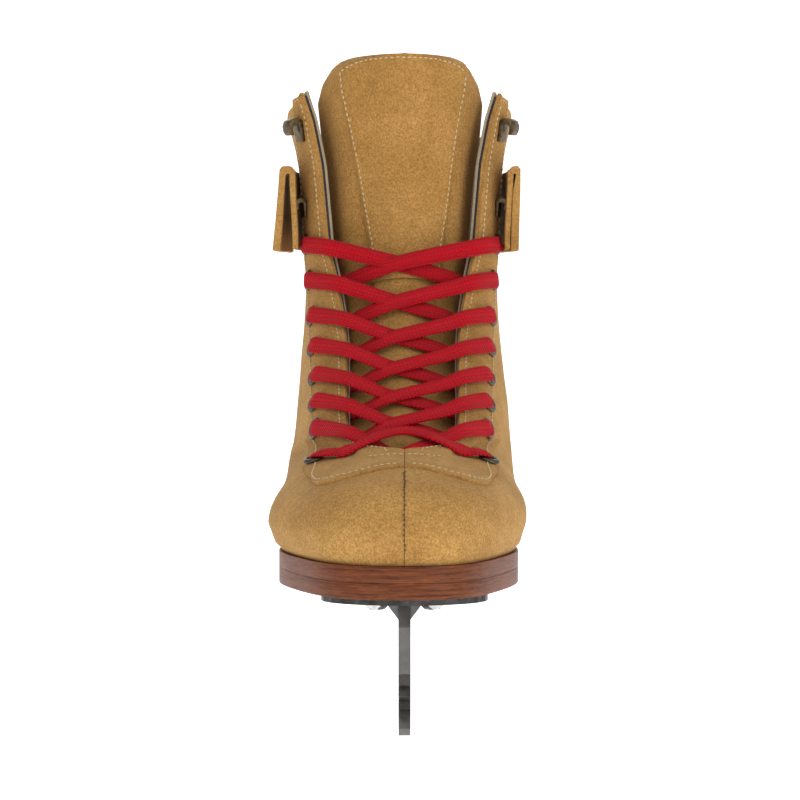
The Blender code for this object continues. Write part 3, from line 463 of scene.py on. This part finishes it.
def area(name, place, aim, size, power, tall=None):
    data = bpy.data.lights.new(name, "AREA")
    data.energy = power
    data.size = size
    if tall:
        data.shape = "RECTANGLE"
        data.size_y = tall
    light = bpy.data.objects.new(name, data)
    light.location = place
    light.rotation_euler = (Vector(aim) - Vector(place)).to_track_quat("-Z", "Y").to_euler()
    bpy.context.scene.collection.objects.link(light)


area("key", (-0.75, -1.35, 0.95), (0.0, -0.02, 0.13), 0.9, 8.0, 1.2)
area("fill", (0.95, -1.15, 0.65), (0.0, -0.02, 0.13), 0.9, 9.5, 1.2)
area("top", (0.0, 0.15, 1.4), (0.0, 0.0, 0.1), 1.2, 4.5)
area("back", (0.0, 1.2, 0.9), (0.0, 0.05, 0.15), 1.0, 2.5)
world = bpy.data.worlds.new("studio")
world.use_nodes = True
world.node_tree.nodes["Background"].inputs[0].default_value = (1.0, 1.0, 1.0, 1.0)
world.node_tree.nodes["Background"].inputs[1].default_value = 0.30
bpy.context.scene.world = world
bpy.context.scene.view_settings.view_transform = "Standard"



def paper_sheet(across, away):
    y = -5000.0 + 8500.0 * away
    bend = max(y - 2000.0, 0.0)
    return Vector((-5000.0 + 10000.0 * across, min(y, 2900.0), -60.0 + bend * bend / 700.0))


tree("paper", (0.95, 0.95, 0.95), 1.0, specular_ior_level=0.0)
paper = bpy.data.materials["paper"].node_tree.nodes["Principled BSDF"]
paper.inputs["Emission Color"].default_value = (1.0, 1.0, 1.0, 1.0)
paper.inputs["Emission Strength"].default_value = 0.75
floor = finish_mesh("floor", grid(2, 60, paper_sheet), "paper", None)
print("camera at", tuple(camera.location))

# %% [markdown]
# ## Upper
# The suede is cut in two halves that meet at the toe and the heel. Under it lie black padding
# and the beige lining, and all three end at the instep, where their edges show as stripes.

# %% Upper, padding, lining


def half(side, depth, top=17.0, low=0.0):
    def place(s, t):
        u = low + (top - low) * t + 0.24 * (1.0 - smooth(s / 0.16)) * t ** 8
        start = slot_angle(u, side)
        a = start + (math.pi - start) * (0.5 * s + 0.5 * smooth(s))
        p = wall(u, a, side, depth)
        p.z -= 2.1 * (1.0 - smooth(u / 0.7))
        if u < 4.5:
            p.y -= 0.5 * math.exp(-(p.x / 1.7) ** 2)
        if p.x * side < 0.12:
            p.x = 0.12 * side
        return p
    return place


for side, tag in ((-1, "left"), (1, "right")):
    upper = sheet("vis_upper_" + tag, 70, 120, half(side, 0.75), 1.45, "suede", rim=0.3)
    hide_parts("upper_" + tag)
    pad = sheet("vis_padding_" + tag, 50, 90, half(side, 2.35, 16.9), 1.1, "padding", rim=0.25)
    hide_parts("padding_" + tag)
    lin = sheet("vis_lining_" + tag, 50, 90, half(side, 3.6, 17.03), 1.3, "lining", rim=0.4)
    if side < 0:
        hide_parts("lining")
        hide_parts("collar_padding")
print("upper halves, padding and lining")

# %% [markdown]
# ## Facing overlays
# A second layer of suede carries the eyelets. Its outer edge runs a little outside them and
# turns across the toe, so its columns fan out from the slot. The raised edge casts a thin shadow,
# which is what makes it read as a separate layer; a line drawn in the material would look flat.

# %% Facing overlays
EYE_LINE = EYELETS + [(207.0, 41.5), (240.5, 43.5), (280.0, 45.0)]


def outer_angle(u, side):
    """Angle of the overlay's outer edge: a few millimetres outside the row of eyelets."""
    a = angle_at(u, side, between(EYE_LINE, surface(u, slot_angle(u, side), side).z) * SHARE[side])
    length, before = 0.0, surface(u, a, side)
    while length < 6.5 and a < 2.0:
        a += 0.01
        here = surface(u, a, side)
        length += (here - before).length
        before = here
    return a


def toe_edge(share):
    """Ring where the overlay's lower edge lies, from the middle (0) to its rounded corner (1)."""
    x = 40.5 * share
    drop = 104.2 - 7.5 * smooth(share / 0.95) + 2.2 * smooth((share - 0.88) / 0.12)
    return front(max(x, 0.02), drop)[0]


TOE_EDGE = [toe_edge(k / 24.0) for k in range(25)]
OUTER = {side: [outer_angle(3.0 + 0.5 * k, side) for k in range(31)] for side in (-1, 1)}


def overlay_point(side, s, t, depth, top=17.15):
    low = catmull(TOE_EDGE, 24.0 * s)
    u = low + (top - low) * t
    start = slot_angle(u, side)
    end = catmull(OUTER[side], min(max((u - 3.0) * 2.0, 0.0), 30.0))
    a = start + (end - start) * s
    p = wall(u, a, side, depth)
    if p.x * side < 0.1:
        p.x = 0.1 * side
    return p, normal(u, a, side)


for side, tag in ((-1, "left"), (1, "right")):
    stay = sheet("vis_eyestay_" + tag, 26, 130,
                 lambda s, t, k=side: overlay_point(k, s, t, -0.35)[0], 1.15, "suede_trim", rim=0.35)
    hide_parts("eyestay_" + tag)


def line(fn, count):
    return [fn(k / count) for k in range(count + 1)]


for side, tag in ((-1, "left"), (1, "right")):
    for label, fn in (("side", lambda f, k=side: overlay_point(k, 0.93, 0.012 + 0.982 * f, -0.4)),
                      ("toe", lambda f, k=side: overlay_point(k, 0.04 + 0.89 * f, 0.012, -0.4)),
                      ("edge", lambda f, k=side: overlay_point(k, 0.13, 0.10 + 0.885 * f, -0.4)),
                      ("top", lambda f, k=side: overlay_point(k, 0.13 + 0.8 * f, 0.994, -0.4))):
        thread = stitches(f"stitch_{label}_{tag}", line(fn, 90), "thread")

    def throat(f, k=side):
        x = max(14.0 * (1.0 - f), 0.4)
        u, a, _ = front(k * x, 107.3 - 1.0 * (1.0 - f) ** 2)
        return wall(u, a, k, -0.45), normal(u, a, k)
    stitches("stitch_throat_" + tag, line(throat, 20), "thread")

    def rim_line(f, k=side):
        a = OUTER[k][28] + (math.pi - OUTER[k][28]) * f
        return wall(16.7, a, k, 0.7), normal(16.7, a, k)
    stitches("stitch_collar_" + tag, line(rim_line, 60), "thread")


def toe_seam(f):
    u = 0.35 + 3.6 * f
    p = wall(u, 0.0, 1, 0.6)
    return Vector((0.25 * math.sin(26.0 * f), p.y - 0.45, p.z)), normal(u, 0.0, 1)


stitches("stitch_toe_seam", line(toe_seam, 40), "thread_dark", pitch=2.0, length=1.3, radius=0.42,
         jitter=0.3)

# %% [markdown]
# ## Tongue
# One padded piece from the throat to above the collar. Its middle panel swells between two seams,
# and its top is drawn bent forward, in one fixed shape.

# %% Tongue
TONGUE_WIDTH = [(4.9, 16.0), (5.6, 24.0), (7.0, 32.0), (9.0, 36.0), (13.0, 41.0), (15.0, 45.0), (16.0, 47.5),
                (17.0, 48.0), (17.4, 45.0), (17.75, 37.0), (18.0, 23.0)]
PANEL = [(12.0, 13.5), (13.2, 16.0), (15.0, 23.5), (17.0, 31.5), (17.6, 33.0), (18.0, 30.0)]


def tongue_point(u, x, depth, behind=0.0):
    """Point of the tongue x from its middle, depth behind its face; behind isn't thinned at the edges."""
    half_width = between(TONGUE_WIDTH, u)
    share = x / half_width
    side = -1 if x < 0.0 else 1
    a = angle_at(u, side, max(abs(x), 0.001))
    base = 6.4 + 4.5 * smooth(abs(x) / 22.0) + 4.0 * smooth((6.4 - u) / 1.4)
    thin = 1.0 - 0.55 * smooth((abs(share) - 0.35) / 0.65)
    p = wall(u, a, side, base + depth * thin + behind)
    if abs(x) < 0.0005:
        p.x = 0.0
    p.y -= 13.0 * smooth((u - 13.0) / 5.5) * (1.0 - share * share)
    return p


def tongue_face(s, t):
    u = 5.0 + 13.0 * (t + 0.05 * math.sin(math.pi * t))
    x = (2.0 * s - 1.0) * between(TONGUE_WIDTH, u) * SHARE[-1 if s < 0.5 else 1]
    panel = between(PANEL, u) + (2.6 * smooth((17.0 - u) / 3.5) if s > 0.5 else 0.0)
    step = smooth((abs(x) - panel) / 1.1) if u > 12.0 else 0.0
    return tongue_point(u, x, 0.0, 1.5 * step - 0.5 * (1.0 - step))


def body_blend(obj):
    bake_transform(obj)


face = finish_mesh("vis_tongue", grid(96, 150, tongue_face), "tongue", None, (0.0, 60.0, 190.0))
thicken(face, 4.2, 1.5)
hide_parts("tongue_lower", "tongue_upper")
body_blend(face)
LINING_BEHIND = 5.9


def tongue_back(s, t):
    u = 5.1 + 12.8 * t
    x = (2.0 * s - 1.0) * 0.985 * SHARE[-1 if s < 0.5 else 1] * between(TONGUE_WIDTH, u)
    return tongue_point(u, x, 0.0, LINING_BEHIND)


back = finish_mesh("vis_tongue_lining", grid(48, 90, tongue_back), "lining", None, (0.0, 60.0, 190.0))
thicken(back, 1.2, 0.3)
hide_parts("tongue_lower_lining", "tongue_upper_lining")
body_blend(back)
for side, tag in ((-1, "left"), (1, "right")):
    def panel_line(f, k=side):
        u = 12.4 + 5.1 * f
        x = k * (between(PANEL, u) + (2.6 * smooth((17.0 - u) / 3.5) if k > 0 else 0.0) - 1.3)
        return tongue_point(u, x, 0.0, -0.6), normal(u, angle_at(u, k, abs(x)), k)
    body_blend(stitches(f"stitch_tongue_{tag}", line(panel_line, 50), "thread", body=None))


def top_line(f):
    x = (2.0 * f - 1.0) * 31.0
    u = 17.84 - 0.3 * (abs(x) / 31.0) ** 3
    side = -1 if x < 0.0 else 1
    across = x if abs(x) > 0.01 else 0.01
    return tongue_point(u, across, 0.0, -0.6), normal(u, angle_at(u, side, abs(across)), side)


body_blend(stitches("stitch_tongue_top", line(top_line, 60), "thread", body=None))


def keeper_point(s, t):
    z = 179.0 + 9.5 * t
    x = (2.0 * s - 1.0) * (15.5 - 6.0 * t * t)
    u, a, side = front(x if abs(x) > 0.01 else 0.01, z)
    base = 6.4 + 4.5 * smooth(abs(x) / 22.0)
    return wall(u, a, side, base - 1.4 - 1.5 * math.cos(0.5 * math.pi * (2.0 * s - 1.0)) * math.sin(
        math.pi * min(t + 0.2, 1.0)))


keeper = sheet("vis_lace_keeper", 30, 12, keeper_point, 1.0, "suede_trim", rim=0.3)
def keeper_line(f):
    p = keeper_point(0.06 + 0.88 * f, 0.72)
    return p + Vector((0.0, -0.25, 0.1)), Vector((0.0, -1.0, 0.35)).normalized()


stitches("stitch_keeper", line(keeper_line, 30), "thread")
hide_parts("lace_keeper")
print("tongue", len(face.data.vertices), "points")

# %% [markdown]
# ## Lace
# One flat braid is swept through all sixteen eyelets and folded away inside the boot. Its stations
# say where the middle runs, how wide it is and which way is up; a spline through them makes it
# smooth, and a rounded section makes it read as a woven tape.

# %% Lace
LACE_W, LACE_T, OVER, UNDER = 7.2, 1.6, 2.6, -7.7


def lay(x, z, h):
    u, a, side = front(x if abs(x) > 0.02 else 0.02, z)
    return wall(u, a, side, -h), normal(u, a, side)


def eyelet_frame(side, row):
    z, x = EYELETS[row]
    u, a, _ = front(side * x * SHARE[side], z)
    return wall(u, a, side, 0.0), normal(u, a, side)


def dive(c, n, arrive, leave):
    t_in = (arrive - n * arrive.dot(n)).normalized()
    t_out = (leave - n * leave.dot(n)).normalized()
    full, thick = 0.5 * LACE_W, 0.5 * LACE_T
    return [(c - t_in * 6.5 + n * 2.6, full, thick, n), (c - t_in * 3.4 + n * 2.95, full * 0.94, 0.7, n),
            (c - t_in * 0.7 + n * 2.75, 2.7, 0.55, None), (c + n * 1.5, 1.6, 0.55, None),
            (c - n * 5.0, 1.3, 0.55, None), (c + t_out * 0.9 - n * 6.9, 1.5, 0.6, None),
            (c + t_out * 3.6 + n * UNDER, full * 0.6, thick, n),
            (c + t_out * 6.6 + n * UNDER, full * 0.86, thick, n)]


def strand(side, row):
    (z0, x0), (z1, x1) = EYELETS[row], EYELETS[row + 1] if row < 7 else EYELETS[7]
    x0, x1 = x0 * SHARE[side], x1 * SHARE[-side]
    rise = 1.15 if side < 0 else -1.15
    lift = 0.9 if row == 6 else 0.0
    e0, e1 = max(between(SLOT_CAD, z0), 20.0), between(SLOT_CAD, z1)
    marks = [(-e0 - 0.5, UNDER), (-e0 + 7.0, UNDER + (1.9 if row else -0.6)),
             (-8.0, (-3.4 + 0.8 * rise + lift) if row else -7.6),
             (0.0, -2.3 + rise + lift - (0.0 if row else 1.0)), (8.0, -1.4 + 0.8 * rise + lift),
             (e1 - 7.0, 0.5), (e1 - 0.5, OVER + 0.35)]
    out = []
    for x, h in marks:
        p, n = lay(-side * x, z0 + (z1 - z0) * (x + x0) / (x0 + x1), h)
        out.append((p, 0.5 * LACE_W, 0.5 * LACE_T, n))
    return out


def bar_z(x):
    return 103.5 + 9.8 * (1.0 - smooth(abs(x) / 35.0))


def free_end(side):
    d0 = -UNDER + 1.6
    route = [(12.6, 0.30), (12.2, 0.36), (11.4, 0.42), (10.0, 0.46), (8.5, 0.48), (7.0, 0.49),
             (5.6, 0.50), (4.4, 0.505), (3.4, 0.49), (2.8, 0.455), (2.5, 0.41), (2.4, 0.36)]
    route = [(u, share, d0) for u, share in route]
    for layer in range(4):
        shares = (0.31, 0.27) if layer == 0 else (0.27, 0.32, 0.37, 0.42, 0.47, 0.515)
        route += [(2.35, s, d0 + 2.6 * layer) for s in (shares[::-1] if layer == 2 else shares)]
    return [(wall(u, s * math.pi, side, d), 0.5 * LACE_W, 0.5 * LACE_T, normal(u, s * math.pi, side))
            for u, s, d in route]


SLOT_CAD = [(104.3, 0.0), (105.3, 12.0), (107.0, 19.0), (112.0, 23.0)] + SLOT[4:]
halves = []
for first in (-1, 1):
    stations, side = [], first
    for row in range(7):
        run = strand(side, row)
        centre, n = eyelet_frame(-side, row + 1)
        ahead = (strand(-side, row + 1) if row < 6 else free_end(-side))[0][0]
        stations += run + dive(centre, n, centre - run[-1][0], ahead - centre)
        side = -side
    halves.append(stations + free_end(side))
bar = [(*lay(x, bar_z(x), OVER), x) for x in (-26.0, -20.0, -13.0, -6.5, 0.0, 6.5, 13.0, 20.0, 26.0)]
bar = [(p, 0.5 * LACE_W, 0.5 * LACE_T, n) for p, n, x in bar]
leads = []
for side in (-1, 1):
    centre, n = eyelet_frame(side, 0)
    leads.append(dive(centre, n, centre - lay(side * 26.0, bar_z(26.0), OVER)[0],
                      strand(side, 0)[0][0] - centre))
stations = list(reversed(halves[0])) + list(reversed(leads[0])) + bar + leads[1] + halves[1]

STEPS = 5
points, halfs, thicks, ups = [], [], [], []
for i in range(len(stations) - 1):
    quad = [stations[min(max(i + k, 0), len(stations) - 1)] for k in (-1, 0, 1, 2)]
    for k in range(STEPS):
        f = k / STEPS
        points.append(Vector([catmull([q[0][c] for q in quad], 1.0 + f) for c in range(3)]))
        halfs.append(quad[1][1] + (quad[2][1] - quad[1][1]) * f)
        thicks.append(quad[1][2] + (quad[2][2] - quad[1][2]) * f)
        both = quad[1][3] is not None and quad[2][3] is not None
        ups.append(quad[1][3].lerp(quad[2][3], f).normalized() if both else None)
points.append(stations[-1][0].copy())
halfs.append(stations[-1][1])
thicks.append(stations[-1][2])
ups.append(stations[-1][3])

SIDES = 14
bm = bmesh.new()
bmesh.ops.create_grid(bm, x_segments=SIDES, y_segments=len(points) - 1, size=1.0)
uv_layer = bm.loops.layers.uv.new("UVMap")
frames, wide, run_length = [], None, 0.0
for i, p in enumerate(points):
    t = (points[min(i + 1, len(points) - 1)] - points[max(i - 1, 0)]).normalized()
    if ups[i] is not None:
        w = t.cross(ups[i]).normalized()
        w = -w if wide is not None and w.dot(wide) < 0.0 else w
    else:
        w = (wide - t * wide.dot(t)).normalized()
    wide = w
    run_length += (p - points[i - 1]).length if i else 0.0
    frames.append((p, w, w.cross(t).normalized(), run_length))
where = {}
bm.verts.index_update()
for v in bm.verts:
    col = round(0.5 * (v.co.x + 1.0) * SIDES)
    row = round(0.5 * (v.co.y + 1.0) * (len(points) - 1))
    p, w, up, _ = frames[row]
    turn = 2.0 * math.pi * col / SIDES
    c, s = math.cos(turn), math.sin(turn)
    where[v.index] = (col, row)
    v.co = (p + w * halfs[row] * math.copysign(abs(c) ** 0.8, c)
            + up * thicks[row] * math.copysign(abs(s) ** 0.45, s))
for f in bm.faces:
    for loop in f.loops:
        col, row = where[loop.vert.index]
        share = 0.5 + 0.5 * math.cos(2.0 * math.pi * col / SIDES)
        loop[uv_layer].uv = (share, frames[row][3] * MM)
bmesh.ops.remove_doubles(bm, verts=bm.verts, dist=0.0005)
bmesh.ops.holes_fill(bm, edges=[e for e in bm.edges if e.is_boundary], sides=0)
bmesh.ops.recalc_face_normals(bm, faces=bm.faces)
lace = finish_mesh("vis_lace", bm, "lace", BOOT)
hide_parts("lace")
print("lace length", round(frames[-1][3] * MM, 3), "m")

# %% [markdown]
# ## Eyelets and hooks
# An eyelet is turned from one profile: a rolled flange outside and a thin barrel through the layers.

# %% Eyelets, hooks


def turned(profile, steps):
    bm = bmesh.new()
    verts = [bm.verts.new((r, 0.0, z)) for r, z in profile]
    edges = [bm.edges.new((a, b)) for a, b in zip(verts, verts[1:] + verts[:1])]
    bmesh.ops.spin(bm, geom=verts + edges, axis=(0.0, 0.0, 1.0), cent=(0.0, 0.0, 0.0),
                   angle=2.0 * math.pi, steps=steps, use_merge=True)
    bmesh.ops.remove_doubles(bm, verts=bm.verts, dist=0.0005)
    bmesh.ops.recalc_face_normals(bm, faces=bm.faces)
    return bm


RING = [(2.1, 0.5), (2.4, 1.0), (3.1, 1.25), (3.9, 1.05), (4.4, 0.6), (4.6, 0.1), (4.3, -0.1), (2.6, -0.1),
        (2.55, -5.6), (2.1, -5.6)]
for side, tag in ((-1, "left"), (1, "right")):
    for i in range(8):
        centre, n = eyelet_frame(side, i)
        bm = turned(RING, 28)
        turn = Vector((0.0, 0.0, 1.0)).rotation_difference(n).to_matrix().to_4x4()
        bmesh.ops.transform(bm, matrix=Matrix.Translation(centre + n * 0.9) @ turn, verts=bm.verts)
        ring = finish_mesh(f"vis_eyelet_{tag}_{8 - i}", bm, "eyelet_metal", BOOT)
        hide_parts(f"eyelet_{tag}_{8 - i}")

HOOK = [(-4.5, 0.0), (4.6, 0.0), (5.6, 1.6), (6.0, 4.0), (5.2, 6.2), (3.0, 7.2), (0.4, 7.0), (-1.0, 6.2),
        (-1.2, 4.7), (0.6, 5.0), (2.4, 4.9), (3.4, 3.7), (3.0, 2.1), (-4.5, 1.5)]
for side, tag in ((-1, "left"), (1, "right")):
    for i, (z, x, size) in enumerate(((207.0, 41.5, 0.78), (240.5, 43.5, 1.0))):
        u, a, _ = front(side * x * SHARE[side], z)
        n = normal(u, a, side)
        up = (Vector((0.0, 0.0, 1.0)) - n * n.z).normalized()
        bm = bmesh.new()
        ring = [bm.verts.new((px * size, py * size, -3.0 * size)) for px, py in HOOK]
        face_in = bm.faces.new(ring)
        out = bmesh.ops.extrude_face_region(bm, geom=[face_in])
        bmesh.ops.translate(bm, vec=(0.0, 0.0, 6.0 * size),
                            verts=[g for g in out["geom"] if isinstance(g, bmesh.types.BMVert)])
        bmesh.ops.bevel(bm, geom=bm.edges[:], offset=0.22, segments=2, affect="EDGES", profile=0.5,
                        material=-1)
        turn = Matrix((up, n, up.cross(n))).transposed().to_4x4()
        bmesh.ops.transform(bm, matrix=Matrix.Translation(wall(u, a, side, -0.45)) @ turn, verts=bm.verts)
        bmesh.ops.recalc_face_normals(bm, faces=bm.faces)
        hook = finish_mesh(f"vis_hook_{tag}_{i + 1}", bm, "bronze", BOOT)
        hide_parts(f"hook_{tag}_{i + 1}")
print("16 eyelets and 4 hooks")

# %% [markdown]
# ## Side flaps
# Each flap is one strip of suede folded over at the top. It is drawn as a cross-section and
# pulled along the boot; soft corners and a slight wave keep it from looking like a board.

# %% Flaps
LEAVES = {-1: ("left", 49.3, [(52.3, 225.0), (53.6, 223.6), (54.4, 214.0), (55.6, 202.0), (57.0, 189.0),
                              (55.4, 188.7), (53.6, 189.0), (52.6, 200.0), (51.8, 211.0), (51.0, 221.2)]),
          1: ("right", 47.0, [(48.8, 225.0), (49.8, 223.6), (49.8, 214.0), (49.6, 202.0), (49.4, 189.0),
                              (47.8, 188.7), (46.0, 189.0), (46.1, 200.0), (46.5, 211.0), (46.6, 214.0)])}
for side, (tag, hinge, leaf) in LEAVES.items():
    fold = [(hinge + 1.7 * math.cos(a), 223.3 + 1.7 * math.sin(a))
            for a in (math.radians(-60.0 - 210.0 * k / 9.0) for k in range(10))]
    bm = bmesh.new()
    ring = [bm.verts.new((side * x, 27.0, z)) for x, z in leaf + fold]
    first = bm.faces.new(ring)
    geom = [first]
    for k in range(24):
        out = bmesh.ops.extrude_face_region(bm, geom=geom)["geom"]
        geom = [g for g in out if isinstance(g, bmesh.types.BMFace)]
        bmesh.ops.translate(bm, vec=(0.0, 59.0 / 24.0, 0.0),
                            verts=[g for g in out if isinstance(g, bmesh.types.BMVert)])
    bm.faces.ensure_lookup_table()
    caps = [f for f in bm.faces if len(f.verts) > 4]
    inner = [f for f in caps if 27.5 < f.calc_center_median().y < 85.5]
    bmesh.ops.delete(bm, geom=inner, context="FACES_ONLY")
    for v in bm.verts:
        hang = smooth((223.0 - v.co.z) / 34.0)
        v.co.x += side * 0.35 * hang * math.sin(v.co.y * 0.16)
        v.co.x -= side * 4.2 * hang * smooth((v.co.y - 45.0) / 41.0)
    bmesh.ops.recalc_face_normals(bm, faces=bm.faces)
    flap = finish_mesh("vis_flap_" + tag, bm, "suede_trim", tag + "_flap")
    bevel = flap.modifiers.new("soft", "BEVEL")
    bevel.width, bevel.segments, bevel.limit_method = 0.5 * MM, 3, "ANGLE"
    bevel.angle_limit = math.radians(40.0)
    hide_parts("flap_" + tag)
for side, tag, out_x in ((-1, "left", 49.6), (1, "right", 47.0)):
    def tab_point(s, t, k=side, reach=out_x):
        y = 27.5 + 58.0 * s
        z = 189.5 + 34.0 * t
        lean = 1.4 * smooth(t) - 2.4 * smooth((y - 45.0) / 41.0)
        return Vector((k * (reach - 1.6 + lean), y, z))
    tab = sheet("vis_flap_tab_" + tag, 24, 16, tab_point, 2.4, "suede_trim", rim=0.4)
    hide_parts("flap_tab_" + tag)
print("two flaps with their tabs")

# %% [markdown]
# ## Sole and heel
# The soles follow the boot's lower edge, moved out by a fixed distance. Each layer is that outline
# extruded from its bottom to its top, with its rim bevelled, and the brown streaks run along the layers.

# %% Sole and heel


def wall_flat(angle, side, inset):
    p = surface(0.0, angle, side)
    t = surface(0.0, min(angle + 0.01, math.pi), side) - surface(0.0, max(angle - 0.01, 0.0), side)
    n = Vector((t.y, -t.x, 0.0)).normalized()
    return p - (n if n.x * side > 0.0 else -n) * inset


def slab(name, node, out_by, top, bottom, y_from=None, y_to=None, count=90):
    columns = []
    for i in range(count + 1):
        angle = math.radians(3.0) + (math.pi - math.radians(6.0)) * i / count
        left, right = wall_flat(angle, -1, -out_by), wall_flat(angle, 1, -out_by)
        if (y_from is None or left.y >= y_from) and (y_to is None or left.y <= y_to):
            columns.append((left, right))
    bm = bmesh.new()
    outline = [p for p, _ in columns] + [p for _, p in reversed(columns)]
    bottom_face = bm.faces.new([bm.verts.new((p.x, p.y, bottom(p.y))) for p in outline])
    out = bmesh.ops.extrude_face_region(bm, geom=[bottom_face])["geom"]
    for g in out:
        if isinstance(g, bmesh.types.BMVert):
            g.co.z = top(g.co.y)
    bmesh.ops.triangulate(bm, faces=[f for f in bm.faces if len(f.verts) > 4])
    bmesh.ops.recalc_face_normals(bm, faces=bm.faces)
    obj = finish_mesh(name, bm, "leather_sole", BOOT)
    bevel = obj.modifiers.new("rim", "BEVEL")
    bevel.width, bevel.segments, bevel.limit_method = 0.3 * MM, 3, "ANGLE"
    bevel.angle_limit = math.radians(55.0)
    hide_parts(node)
    return obj


slab("vis_midsole", "midsole", 1.2, sole_z, lambda y: sole_z(y) - 6.3)
slab("vis_outsole", "outsole", 1.2, lambda y: sole_z(y) - 6.4, lambda y: sole_z(y) - 12.6)
slab("vis_heel_lift_upper", "heel_lift_upper", 0.5, lambda y: sole_z(y) - 13.0, lambda y: 74.2, 29.0, 112.8)
slab("vis_heel_lift_lower", "heel_lift_lower", -0.2, lambda y: 73.9, lambda y: 63.3, 29.0, 112.8)
print("soles and heel")

# %% [markdown]
# ## Screws
# Pan heads hang under the plates. Each is turned from a domed profile, and a cross is pressed into
# the head by pulling in the faces that lie on the two slot lines.

# %% Screws
HEAD = [(0.0, 8.2), (1.8, 7.0), (1.8, -0.2), (4.1, -0.2), (4.35, -0.7), (4.2, -1.7), (3.4, -2.6),
        (2.3, -3.1), (1.1, -3.3), (0.0, -3.35)]


def screw(name, node, x, y, z, twist):
    bm = bmesh.new()
    verts = [bm.verts.new((r, 0.0, h)) for r, h in HEAD]
    edges = [bm.edges.new(pair) for pair in zip(verts, verts[1:])]
    bmesh.ops.spin(bm, geom=verts + edges, axis=(0.0, 0.0, 1.0), cent=(0.0, 0.0, 0.0),
                   angle=2.0 * math.pi, steps=32, use_merge=True)
    bmesh.ops.remove_doubles(bm, verts=bm.verts, dist=0.0005)
    for v in bm.verts:
        near = math.hypot(v.co.x, v.co.y) < 2.6 and v.co.z < -2.0
        if near and min(abs(v.co.x), abs(v.co.y)) < 0.5:
            v.co.z += 1.1
    bmesh.ops.rotate(bm, cent=(0.0, 0.0, 0.0), matrix=Matrix.Rotation(twist, 3, "Z"), verts=bm.verts)
    bmesh.ops.translate(bm, vec=(x, y, z), verts=bm.verts)
    bmesh.ops.recalc_face_normals(bm, faces=bm.faces)
    obj = finish_mesh(name, bm, "screw", BOOT)
    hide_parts(node)


FRONT = [(-10.7, -118.0), (10.7, -118.0), (-23.5, -86.0), (22.0, -86.0), (-19.0, -56.0), (19.0, -56.0)]
HEEL = [(-14.0, 50.0), (14.0, 50.0), (-13.0, 88.0), (13.0, 88.0)]
for label, places, z in (("front_screw", FRONT, 52.4), ("heel_screw", HEEL, 59.8)):
    for i, (x, y) in enumerate(places):
        screw(f"vis_{label}_{i + 1}", f"{label}_{i + 1}", x, y, z, random.uniform(0.0, 1.5))
print("10 screws")
